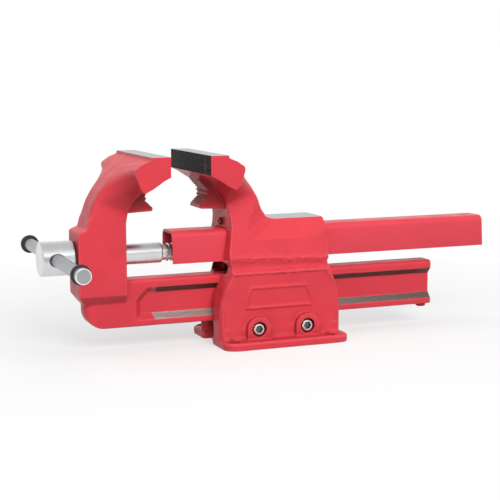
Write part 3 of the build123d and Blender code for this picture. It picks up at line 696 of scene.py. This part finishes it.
def arm_weight(place, face, side):
    """Where the wings run smoothly into the arm."""
    behind = (place[:, 0] - face) * side
    return (window(behind, 38 * MM, 100 * MM, 8 * MM) * window(abs(place[:, 1]), 15 * MM, 62 * MM, 7 * MM)
            * window(place[:, 2], 158 * MM, 228 * MM, 8 * MM))


def flank_weight(place):
    """Where the flank runs smoothly into the flange and round the anvil's rear corner."""
    x, y, z = place.T
    foot = window(z, 11 * MM, 33 * MM, 7 * MM) * window(x, -68 * MM, 73 * MM, 5 * MM) * (abs(y) > 40 * MM)
    for node in ("guide_screw_front", "guide_screw_rear"):
        away = abs(x - middle_of(node).x)
        foot = foot * ((away - 14.5 * MM) / (4 * MM)).clip(0, 1)
    corner = window(x, 40 * MM, 90 * MM, 8 * MM) * window(z, 118 * MM, 149 * MM, 6 * MM) * (abs(y) > 25 * MM)
    return np.maximum(foot, corner)


def rounded_forging(piece, face, side, fixed):
    """Rounds a sharp solid into a forging: fine cells, smoothed edges, a slightly uneven skin."""
    voxel = sizes().voxel
    modified(piece, "REMESH", mode="VOXEL", voxel_size=voxel)
    modified(piece, "SMOOTH", factor=0.5, iterations=sizes().rounding)
    place = point_values(piece.data, "co")
    weight = arm_weight(place, face, side)
    if fixed:
        weight = np.maximum(weight, flank_weight(place))
    softened(piece.data, weight, sizes().blending)
    edge_measure(piece.data, voxel)
    place, normal = point_values(piece.data, "co"), point_values(piece.data, "normal")
    waves = [noise.noise(Vector(point) * WAVES) + 0.4 * noise.noise(Vector(point) * RIPPLES)
             for point in place]
    height = np.array(waves, np.float32) * sizes().forging_waves
    if fixed:
        height += ridge_lumps(place)
    waved = place + normal * height[:, None]
    piece.data.vertices.foreach_set("co", waved.ravel())
    piece.data.update()
    modified(piece, "DECIMATE", ratio=FACES_KEPT)


def jaw_side(face, side, points):
    """Points given in millimetres behind the jaw face and above the bench, as X and Z in the frame."""
    return [(face + side * behind * MM, height * MM) for behind, height in points]


def serration(tip, root, count, depth=1.5, valley=0.35):
    """Saw teeth along a line, each a point and a valley behind it."""
    step = ((root[0] - tip[0]) / count, (root[1] - tip[1]) / count)
    points = []
    for tooth in range(count):
        x, z = tip[0] + step[0] * tooth, tip[1] + step[1] * tooth
        points += [(x, z), (x + step[0] * valley + depth, z + step[1] * valley)]
    return points + [root]


# What is cut out of the pipe jaws, in front of their teeth
PIPE_CUTS = [serration(*PIPE_UPPER, 5) + [(12.0, 184.5), (-2.0, 198.0), (0.0, 203.0)],
             serration(*PIPE_LOWER, 4) + [(11.0, 183.2), (1.0, 171.5), (3.0, 167.0)]]


def ridge_lumps(place):
    """Roughness left along the parting ridge and the upper border of the panel."""
    x, y, z = place.T
    ridge = window(z - RIDGE_Z + RIDGE_FALL * x, -7 * MM, 6 * MM, 4 * MM)
    border = window(z - PANEL_TOP, -4 * MM, 5 * MM, 3 * MM) * 0.7
    rough = np.maximum(ridge, border) * (abs(y) > 34 * MM)
    bumps = [noise.noise(Vector(point) * LUMPS) if share > 0 else 0.0 for point, share in zip(place, rough)]
    return (rough * np.array(bumps) * LUMP_HEIGHT).astype(np.float32)


def jaw_forging(jaw, node, side, extra):
    """A forging with its jaw facing, cut apart where the facing is seated; side is 1 behind the jaw face."""
    plate_node = jaw + "_jaw_plate"
    low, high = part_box(plate_node)
    face, seat_x = (low.x, high.x) if side > 0 else (high.x, low.x)
    forging = cad_copy(jaw + "_forging", node, plate_node)
    bm = bmesh.new()
    bm.from_mesh(forging.data)
    ahead = face - side * SPARE
    add_block(bm, (ahead, low.y, low.z), (seat_x + side * 2 * MM, high.y, high.z + SPARE))
    add_block(bm, (ahead, low.y, high.z - 3 * MM), (face + side * LIP_DEPTH, high.y, high.z + SPARE))
    for end in (-1, 1):
        add_prism(bm, jaw_side(face, side, WING_END), 2.5 * MM, end * (high.y + 2 * MM))
    for teeth in PIPE_FILL:
        add_prism(bm, jaw_side(face, side, teeth), PIPE_HALF)
    for corners in extra:
        add_block(bm, *corners)
    bm.to_mesh(forging.data)
    bm.free()
    rounded_forging(forging, face, side, side > 0)
    over = JAW_TOP + 4 * MM
    for cut in PIPE_CUTS:
        carve(forging, prism_object(jaw_side(face, side, cut), PIPE_HALF + 2 * MM))
    carve(forging, block_object((-2 * FAR, -FAR, JAW_TOP), (2 * FAR, FAR, JAW_TOP + FAR)))
    for end in (-1, 1):
        carve(forging, block_object((-2 * FAR, end * high.y, WING_LOW), (2 * FAR, end * FAR, over)))
    carve(forging, block_object((face, -FAR, low.z - 4 * MM), (face - side * 20 * MM, FAR, over)))
    plate = placed(jaw + "_facing", forging.data.copy())
    slab = block_object((face - side * 10 * MM, -FAR, low.z), (seat_x, FAR, JAW_TOP + 10 * MM))
    carve(plate, slab, "INTERSECT", keep_cutter=True)
    carve(forging, slab)
    return forging, plate


def toothed_sheet(jaw, side, material):
    """The face of a hardened facing: a thin solid with rows of small pyramids, and the pocket for it."""
    low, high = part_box(jaw + "_jaw_plate")
    face = low.x if side > 0 else high.x
    margin = 0.35 * MM
    depth = 0.4 * MM
    pitch = sizes().tooth_pitch
    width, height = high.y - low.y - 2 * margin, high.z - low.z - margin
    across, rows = round(width / pitch), round(height / pitch)
    bm = bmesh.new()
    tip = bm.verts.layers.float.new("tip")

    def point(behind, column, row, is_tip=0.0):
        place = (face + side * behind, low.y + margin + column * width / across,
                 low.z + margin + row * height / rows)
        vertex = bm.verts.new(place)
        vertex[tip] = is_tip
        return vertex

    corners = [[point(depth, column, row) for row in range(rows + 1)] for column in range(across + 1)]
    for column in range(across):
        for row in range(rows):
            top = point(0.02 * MM, column + 0.5, row + 0.5, 1.0)
            ring = [corners[column][row], corners[column + 1][row],
                    corners[column + 1][row + 1], corners[column][row + 1]]
            for first, second in zip(ring, ring[1:] + ring[:1]):
                bm.faces.new((first, second, top))
    border = [column[0] for column in corners] + corners[-1][1:]
    border += [column[rows] for column in corners[-2::-1]] + corners[0][rows - 1:0:-1]
    behind = [bm.verts.new((face + side * MM, vertex.co.y, vertex.co.z)) for vertex in border]
    add_wall(bm, border, behind)
    bm.faces.new(behind)
    bmesh.ops.recalc_face_normals(bm, faces=bm.faces)
    inner = margin * 0.9
    pocket = block_object((face - side * MM, low.y + inner, low.z + inner),
                          (face + side * 0.75 * MM, high.y - inner, JAW_TOP + MM))
    return made_object(jaw + "_teeth", bm, material), pocket


def dressed_jaw(jaw, body, node, side, material, *extra):
    """Forging, facing and toothed face of one jaw, tied to their body."""
    forging, plate = jaw_forging(jaw, node, side, extra)
    facing = bpy.data.materials.get("hardened_facing") or facing_finish()
    teeth, pocket = toothed_sheet(jaw, side, facing)
    carve(plate, pocket)
    for piece in (forging, plate):
        piece.data.materials.clear()
        piece.data.materials.append(material)
        shade(piece, FORGED_CREASE)
    seat(forging, body, "red_paint", node)
    for piece in (plate, teeth):
        seat(piece, body, "jaw_steel", jaw + "_jaw_plate")
    return forging


def flank_frame(side, material):
    """Raised bead round the plain field on a flank."""
    corners = [(-x, z, inward) for x, z, inward in FRAME_HALF] + FRAME_HALF[::-1]
    bm = bmesh.new()
    rings = []
    for inset, out in BEAD_SECTION:
        y = side * (PANEL_FACE + out * MM)
        rings.append([bm.verts.new(((x - math.copysign(inset, x)) * MM, y, (z + inward * inset) * MM))
                      for x, z, inward in corners])
    for first, second in zip(rings, rings[1:] + rings[:1]):
        add_wall(bm, first, second)
    return closed_object("flank_frame_" + ("near" if side < 0 else "far"), bm, CUT_CREASE, material)


class ViseRearForging(bpy.types.Operator):
    """Builds the fixed forging with its jaw facing"""

    bl_idname = "vise.rear_forging"
    bl_label = "Fixed forging"

    def execute(self, context):
        anvil = ((ANVIL_FRONT, -ANVIL_HALF, ANVIL_TOP - 6 * MM),
                 (ANVIL_REAR, ANVIL_HALF, ANVIL_TOP + 3 * MM))
        material = forging_finish("rear_enamel", rear_machined)
        forging = dressed_jaw("rear", "fixed_body", "rear_body", 1, material, anvil)
        carve(forging, block_object((ANVIL_FRONT - 3.5 * MM, -50 * MM, ANVIL_TOP),
                                    (100 * MM, 50 * MM, ANVIL_TOP + 20 * MM)))
        carve(forging, block_object((-FAR, -FAR, -20 * MM), (FAR, FAR, 0)))
        mouth = block_object((MOUTH_BACK - 50 * MM, -MOUTH_HALF, MOUTH_LOW),
                             (MOUTH_BACK, MOUTH_HALF, MOUTH_HIGH))
        carve(forging, bevelled(mouth, 4.5 * MM, 4))
        shade(forging, FORGED_CREASE)
        for side in (-1, 1):
            seat(flank_frame(side, material), "fixed_body", "red_paint", "rear_body")
        return {"FINISHED"}


class ViseFrontForging(bpy.types.Operator):
    """Builds the sliding forging with its jaw facing and guide rail"""

    bl_idname = "vise.front_forging"
    bl_label = "Sliding forging"

    def execute(self, context):
        material = forging_finish("front_enamel", front_machined)
        dressed_jaw("front", "sliding_jaw", "front_jaw", -1, material)
        return {"FINISHED"}


def spindle_head(material):
    """Round head of the spindle, cross-drilled for the bar, with the journal and the thread's core."""
    front, end = SPINDLE_LOW.x, SPINDLE_HIGH.x
    groove = JOURNAL_RADIUS - 3 * MM
    profile = [
        (front, 0), (front, HEAD_RADIUS - 1.5 * MM), (front + 0.35 * MM, HEAD_RADIUS - 0.6 * MM),
        (front + 1.5 * MM, HEAD_RADIUS), (HEAD_BACK - MM, HEAD_RADIUS), (HEAD_BACK, HEAD_RADIUS - MM),
        (HEAD_BACK, JOURNAL_RADIUS), (PIN_GROOVE[0], JOURNAL_RADIUS), (PIN_GROOVE[0], groove),
        (PIN_GROOVE[1], groove), (PIN_GROOVE[1], JOURNAL_RADIUS),
        (JOURNAL_END - 1.6 * MM, JOURNAL_RADIUS), (JOURNAL_END - 0.4 * MM, JOURNAL_RADIUS - 0.6 * MM),
        (JOURNAL_END, JOURNAL_RADIUS - 1.4 * MM), (JOURNAL_END, THREAD_CORE),
        (end - 2.5 * MM, THREAD_CORE), (end, THREAD_CORE - 2.5 * MM), (end, 0)]
    head = turned("spindle_shaft", ALONG, Vector((0, 0, SPINDLE_Z)), profile, material, segments=128)
    mouth = HEAD_RADIUS - 1.6 * MM
    far = HEAD_RADIUS + 4 * MM
    flared = BAR_HOLE_RADIUS + 0.9 * MM + far - mouth
    drill = [(-far, 0), (-far, flared), (-mouth, BAR_HOLE_RADIUS), (mouth, BAR_HOLE_RADIUS), (far, flared),
             (far, 0)]
    carve(head, turned("cutter", ACROSS, Vector((BAR_X, 0, SPINDLE_Z)), drill, material))
    shade(head, HEAD_CREASE)
    return head


def spindle_thread(material):
    """Trapezoidal thread wound round the spindle's core, right-handed."""
    pitch = sizes().thread_pitch
    root = THREAD_CORE - 0.3 * MM
    section = [(0.0, root), (0.22, THREAD_RADIUS), (0.58, THREAD_RADIUS), (0.80, root)]
    steps = round((THREAD_END - THREAD_START) / pitch * THREAD_STEPS)
    bm = bmesh.new()
    rings = []
    for step in range(steps + 1):
        turn = math.tau * step / THREAD_STEPS
        run_in = min(1.0, 2 * step / THREAD_STEPS, 2 * (steps - step) / THREAD_STEPS)
        ring = []
        for share, radius in section:
            lifted = root + (radius - root) * run_in
            x = THREAD_START + pitch * (step / THREAD_STEPS + share)
            ring.append(bm.verts.new((x, -lifted * math.sin(turn), SPINDLE_Z + lifted * math.cos(turn))))
        rings.append(ring)
    for first, second in zip(rings, rings[1:]):
        add_wall(bm, first, second)
    for end in (rings[0], rings[-1]):
        bmesh.ops.contextual_create(bm, geom=end)
    return closed_object("spindle_thread", bm, 30.0, material)


class ViseSpindle(bpy.types.Operator):
    """Builds the spindle with its head and thread"""

    bl_idname = "vise.spindle"
    bl_label = "Spindle"

    def execute(self, context):
        turned_steel = steel_finish("turned_steel", (900.0, 25.0, 25.0), steel_tint(1.14), 0.33)
        seat(spindle_head(turned_steel), "spindle", "bright_steel", "spindle")
        cut_steel = steel_finish("thread_steel", (700.0, 60.0, 60.0), steel_tint(0.9), 0.3)
        seat(spindle_thread(cut_steel), "spindle", "bright_steel", "spindle")
        return {"FINISHED"}


def buffer_ring(place, rubber):
    """Rubber ring at one end of the bar, rounded on its rim."""
    node = "buffer_ring_" + place
    low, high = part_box(node)
    half, outer = (high.y - low.y) / 2, (high.x - low.x) / 2
    side = [(-half, BAR_NECK)]
    for step in range(6, -1, -1):
        turn = math.pi / 2 * step / 6
        side.append((-half + RING_RIM * (1 - math.sin(turn)), outer - RING_RIM * (1 - math.cos(turn))))
    profile = side + [(-distance, radius) for distance, radius in side[::-1]]
    centre = Vector((BAR_X, middle_of(node).y, SPINDLE_Z))
    ring = turned("buffer_ring_rubber_" + place, ACROSS, centre, profile, rubber)
    seat(ring, "tommy_bar", "black_rubber", node)


def bar_cap(place, faced, highlit_edge_steel):
    """Steel cap at one end of the bar, its rounded edge polished and lighter than steel as a painted
    highlight.
    """
    node = "bar_cap_" + place
    low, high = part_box(node)
    length, radius = high.y - low.y, (high.x - low.x) / 2
    axis, inner = (ACROSS, low.y) if place == "far" else (-ACROSS, high.y)
    profile = [
        (0, BAR_NECK), (0, radius), (length - 1.3 * MM, radius), (length - 0.9 * MM, radius - 0.15 * MM),
        (length - 0.05 * MM, radius - 1.25 * MM), (length, radius - 1.6 * MM), (length, 0), (6 * MM, 0),
        (6 * MM, BAR_NECK)]
    centre = Vector((BAR_X, inner, SPINDLE_Z))
    cap = turned("bar_cap_steel_" + place, axis, centre, profile, faced, highlit_edge_steel)
    for face in cap.data.polygons:
        if 0.1 < abs(face.normal.y) < 0.97:
            face.material_index = 1
    seat(cap, "tommy_bar", "bright_steel", node)


class ViseTommyBar(bpy.types.Operator):
    """Builds the tommy bar with its rings and caps"""

    bl_idname = "vise.tommy_bar"
    bl_label = "Tommy bar"

    def execute(self, context):
        drawn = steel_finish("drawn_bar_steel", (60.0, 14.0, 60.0), steel_tint(0.70), 0.44,
                             distance=0.02 * MM)
        faced = steel_finish("faced_cap_steel", (300.0,) * 3, steel_tint(0.64), 0.36)
        # The cap edge's light colour is partly polish, partly a painted highlight
        highlit_edge_steel = steel_finish("cap_edge_highlight", (300.0,) * 3, (0.93, 0.93, 0.94), 0.3)
        rubber = rubber_finish()
        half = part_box("buffer_ring_far")[0].y - BAR_Y
        end = half + BAR_NECK_LENGTH
        bar = [(-end, 0), (-end, BAR_NECK), (-half, BAR_NECK), (-half, BAR_RADIUS), (half, BAR_RADIUS),
               (half, BAR_NECK), (end, BAR_NECK), (end, 0)]
        rod = turned("tommy_bar_rod", ACROSS, Vector((BAR_X, BAR_Y, SPINDLE_Z)), bar, drawn)
        seat(rod, "tommy_bar", "bright_steel", "tommy_bar")
        for place in ("near", "far"):
            buffer_ring(place, rubber)
            bar_cap(place, faced, highlit_edge_steel)
        return {"FINISHED"}


class ViseCover(bpy.types.Operator):
    """Builds the channel over the spindle and its screw"""

    bl_idname = "vise.cover"
    bl_label = "Spindle cover"

    def execute(self, context):
        finish = Finish("cover_enamel", specular_ior_level=0.18)
        place = finish.place()
        # Painted highlight: the sides of the channel are lightened where they face sideways
        sides = abs(finish.split(finish.facing())[1])
        lit = finish.spread(sides, 0.5, 0.95, 0.0, 0.5)
        colour = finish.blended(lit, enamel_colour(finish, place), COVER_SIDE_HIGHLIGHT)
        middling = colours().enamel_roughness
        rough = finish.spread(finish.grain(place, 60.0), 0.3, 0.7, middling - 0.07, middling + 0.04)
        material = finish.feed(base_color=colour, roughness=rough, normal=enamel_bump(finish, place))
        dressed_copy("cover_channel", "spindle_cover", material, "fixed_body", "red_paint", 0.45, 3)
        painted_over = steel_finish("painted_over_screw", (200.0,) * 3, (0.17, 0.035, 0.04), 0.36, 0.35)
        dressed_copy("cover_screw_body", "cover_screw", painted_over, "fixed_body", "dark_steel", 0.25)
        return {"FINISHED"}


def socket_screw(name, node, material, socket_shade_material):
    """Socket-head screw with a chamfered rim and a hexagon socket, darkened inside as painted shade."""
    low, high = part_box(node)
    start = middle_of(node)
    start.y = low.y
    length, head, shank = high.y - low.y, (high.x - low.x) / 2, 5 * MM
    profile = [(0, 0), (0, head - 2.1 * MM), (0.25 * MM, head - 1.6 * MM), (1.3 * MM, head - 0.35 * MM),
               (2.0 * MM, head), (9 * MM, head), (9 * MM, shank), (length, shank), (length, 0)]
    screw = turned(name, ACROSS, start, profile, material)
    hexagon = 8 * MM / math.sqrt(3)
    funnel = [(-MM, 0), (-MM, hexagon + 1.6 * MM), (0.6 * MM, hexagon), (5.5 * MM, hexagon), (7 * MM, 0)]
    carve(screw, turned("cutter", ACROSS, start, funnel, material, segments=6))
    # Faces inside the socket take the dark material: painted shade
    screw.data.materials.append(socket_shade_material)
    for face in screw.data.polygons:
        off_axis = math.hypot(face.center.x - start.x, face.center.z - start.z)
        if face.center.y > low.y + 0.7 * MM and off_axis < hexagon:
            face.material_index = 1
    shade(screw, CUT_CREASE)
    return screw


def hexagon_nut(name, node, material):
    """Nut with the corners of both ends turned off."""
    low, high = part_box(node)
    start = middle_of(node)
    start.y = low.y
    thick, reach, over = high.y - low.y, (high.x - low.x) / 2, 0.2 * MM
    nut = cad_copy(name, node)
    nut.data.materials.append(material)
    trim = [(-over, 0), (-over, reach - 1.6 * MM), (MM, reach), (thick - MM, reach),
            (thick + over, reach - 1.6 * MM), (thick + over, 0)]
    carve(nut, turned("cutter", ACROSS, start, trim, material, segments=64), "INTERSECT")
    shade(nut, CUT_CREASE)
    return nut


class ViseLegScrews(bpy.types.Operator):
    """Builds the screws and nuts that draw the legs together"""

    bl_idname = "vise.leg_screws"
    bl_label = "Leg screws"

    def execute(self, context):
        screw_steel = steel_finish("screw_steel", (300.0,) * 3, steel_tint(1.12), 0.3)
        # Dark steel for inside the screw sockets: painted shade
        socket_shade_steel = steel_finish("socket_shade_steel", (200.0,) * 3, (0.20, 0.185, 0.18), 0.42)
        nut_steel = steel_finish("nut_steel", (120.0,) * 3, steel_tint(0.8), 0.36)
        for place in ("front", "rear"):
            screw = socket_screw("leg_screw_" + place, "guide_screw_" + place, screw_steel, socket_shade_steel)
            seat(screw, "fixed_body", "dark_steel", "guide_screw_" + place)
            nut = hexagon_nut("leg_nut_" + place, "guide_nut_" + place, nut_steel)
            seat(nut, "fixed_body", "bright_steel", "guide_nut_" + place)
        return {"FINISHED"}


class ViseInnerPieces(bpy.types.Operator):
    """Dresses the nut, pins, washer and small screws"""

    bl_idname = "vise.inner_pieces"
    bl_label = "Inner pieces"

    def execute(self, context):
        iron = steel_finish("nut_iron", (150.0,) * 3, (0.24, 0.24, 0.245), 0.48, 0.85, 0.1 * MM)
        plain = steel_finish("plain_steel", (250.0,) * 3, steel_tint(0.85), 0.34)
        # The thrust washer is darkened to stand for the shadowed gap behind the spindle head: painted shade
        washer_shade = steel_finish("washer_shade_steel", (250.0,) * 3, (0.09, 0.085, 0.085), 0.4)
        dark = steel_finish("blackened_steel", (200.0,) * 3, (0.10, 0.10, 0.105), 0.4)
        painted = bpy.data.materials["cover_enamel"]
        pieces = (
            ("spindle_nut", iron, "fixed_body", "nut_iron", 0.5),
            ("thrust_washer", washer_shade, "sliding_jaw", "bright_steel", 0.3),
            ("rail_stop", painted, "sliding_jaw", "red_paint", 0.5),
            ("spindle_pin", dark, "sliding_jaw", "dark_steel", 0.3),
            ("nut_screw_front", dark, "fixed_body", "dark_steel", 0.3),
            ("nut_screw_rear", dark, "fixed_body", "dark_steel", 0.3),
        )
        for node, *dress in pieces:
            dressed_copy(node + "_piece", node, *dress)
        for node in ("rear_jaw_dowels", "front_jaw_dowels"):
            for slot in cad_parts[node].material_slots:
                slot.material = plain
        return {"FINISHED"}


def soft_light(name, place, width, power):
    """A large rectangular light over the vise, left out of reflections."""
    light = bpy.data.lights.new(name, "AREA")
    light.shape = "RECTANGLE"
    light.size = width
    light.size_y = 1.0
    light.energy = power
    lamp = placed(name, light)
    lamp.location = place
    lamp.rotation_euler = (LIGHT_TARGET - Vector(place)).to_track_quat("-Z", "Y").to_euler()
    lamp.visible_glossy = False


def studio_world(ambient):
    """A world that is white to look at and lights at a plain level."""
    world = bpy.data.worlds.new("studio_world")
    world.use_nodes = True
    world.node_tree.nodes.clear()
    sky = Network(world.node_tree)
    camera, glossy, transmission = (sky.node("ShaderNodeLightPath", output=kind) for kind in (
        "Is Camera Ray", "Is Glossy Ray", "Is Transmission Ray"))
    seen = camera.highest(glossy).highest(transmission)
    light = sky.node("ShaderNodeBackground", values={"Color": (0.97, 0.98, 1.0, 1), "Strength": ambient})
    white = sky.node("ShaderNodeBackground", values={"Color": (1, 1, 1, 1), "Strength": 1.0})
    mixed = sky.node("ShaderNodeMixShader", values={0: seen, 1: light, 2: white})
    sky.node("ShaderNodeOutputWorld", values={0: mixed}, output=None)
    bpy.context.scene.world = world


def floor_finish():
    """Pale floor that takes the vise's shadow and runs out into white."""
    finish = Finish("studio_floor", roughness=0.9, specular_ior_level=0.1)
    place = finish.place()
    distance = finish.node("ShaderNodeVectorMath", {"operation": "LENGTH"}, {0: place}, output="Value")
    far = finish.spread(distance, 0.18, 0.75, 0.55, 1.0)
    finish.feed(base_color=finish.blended(finish.grain(place, 40.0, 2.0), (0.93,) * 3, (0.96,) * 3))
    glow = finish.node("ShaderNodeEmission")
    paper = Wire(finish, finish.shader.outputs[0])
    return finish.show(finish.node("ShaderNodeMixShader", values={0: far, 1: paper, 2: glow}))


# Lights as name, place, width and share of the key light's power; cards as name, scale, place, tilt and level
LIGHT_TARGET = Vector((0, 0, 0.1))
LIGHTS = (
    ("key_light", (-0.1, -2.2, 1.5), 1.5, 1.0),
    ("top_light", (0.1, 0.1, 1.9), 1.6, 0.17),
    ("fill_light", (-1.7, -1.1, 1.1), 1.0, 0.10),
)
CARDS = (
    ("card_behind_camera", (4.5, 1.5, 1.0), (-1.2, -3.4, 2.2), 90, 0.45),
    ("card_softbox", (1.8, 0.34, 1.0), (0.3, -2.2, 1.5), 90, 2.6),
    ("card_overhead", (3.0, 1.6, 1.0), (0.0, 0.6, 2.4), 0, 0.72),
)
CARD_TURN = -21


def glowing_card(name, scale, place, tilt, level):
    """Card that only reflections see, so that the steel shows its roundness."""
    finish = Finish(name, roughness=1.0)
    material = finish.show(finish.node("ShaderNodeEmission", values={"Color": (level, level, level, 1.0)}))
    bm = bmesh.new()
    bmesh.ops.create_grid(bm, x_segments=1, y_segments=1, size=1.0)
    card = made_object(name, bm, material)
    card.scale = scale
    card.location = place
    card.rotation_euler = Euler((math.radians(tilt), 0, math.radians(CARD_TURN)))
    card.visible_camera = False
    card.visible_diffuse = False
    card.visible_shadow = False


def photo_camera():
    """Camera at the photograph's place."""
    lens = bpy.data.cameras.new("photo_camera")
    lens.lens = CAMERA_LENS
    lens.sensor_fit = "HORIZONTAL"
    lens.sensor_width = SENSOR_WIDTH
    lens.clip_start = 0.05
    lens.clip_end = 50.0
    camera = placed("photo_camera", lens)
    camera.matrix_world = Matrix.Translation(CAMERA_PLACE)
    for angle, axis in ((-CAMERA_AZIMUTH, "Z"), (math.pi / 2 - CAMERA_ELEVATION, "X"), (CAMERA_ROLL, "Z")):
        camera.matrix_world @= Matrix.Rotation(angle, 4, axis)
    bpy.context.scene.camera = camera


class ViseStage(bpy.types.Operator):
    """Sets the floor, lights and camera"""

    bl_idname = "vise.stage"
    bl_label = "Studio"

    def execute(self, context):
        scene = context.scene
        scene.view_settings.view_transform = "Standard"
        studio_world(scene.vise_studio.ambient)
        bm = bmesh.new()
        bmesh.ops.create_circle(bm, cap_ends=True, segments=96, radius=6.0)
        floor = made_object("studio_floor", bm, floor_finish())
        floor.location.z = -0.3 * MM
        floor.visible_diffuse = False
        for name, place, width, share in LIGHTS:
            soft_light(name, place, width, scene.vise_studio.key_power * share)
        for card in CARDS:
            glowing_card(*card)
        photo_camera()
        return {"FINISHED"}


class VisePanel(bpy.types.Panel):
    """Buttons for the vise's pieces"""

    bl_idname = "VIEW3D_PT_vise"
    bl_label = "Bench vise"
    bl_space_type = "VIEW_3D"
    bl_region_type = "UI"
    bl_category = "Vise"

    def draw(self, context):
        scene = context.scene
        for group in (scene.vise_paint, scene.vise_shape, scene.vise_studio):
            column = self.layout.column(align=True)
            for name in group.__annotations__:
                column.prop(group, name)
        for operator in PIECES:
            self.layout.operator(operator.bl_idname)


GROUPS = {"vise_paint": VisePaint, "vise_shape": ViseShape, "vise_studio": ViseStudio}
PIECES = (ViseRearForging, ViseFrontForging, ViseSpindle, ViseTommyBar, ViseCover, ViseLegScrews,
          ViseInnerPieces, ViseStage)


def register():
    """Makes the groups, operators and panel known."""
    for kind in (*GROUPS.values(), *PIECES, VisePanel):
        bpy.utils.register_class(kind)
    for name, group in GROUPS.items():
        setattr(bpy.types.Scene, name, PointerProperty(type=group))


def unregister():
    """Takes them away again."""
    for name in GROUPS:
        delattr(bpy.types.Scene, name)
    for kind in (VisePanel, *reversed(PIECES), *reversed(GROUPS.values())):
        bpy.utils.unregister_class(kind)


def main():
    """Builds the whole scene."""
    register()
    for operator in PIECES:
        group, name = operator.bl_idname.split(".")
        getattr(getattr(bpy.ops, group), name)()


if __name__ == "__main__":
    main()
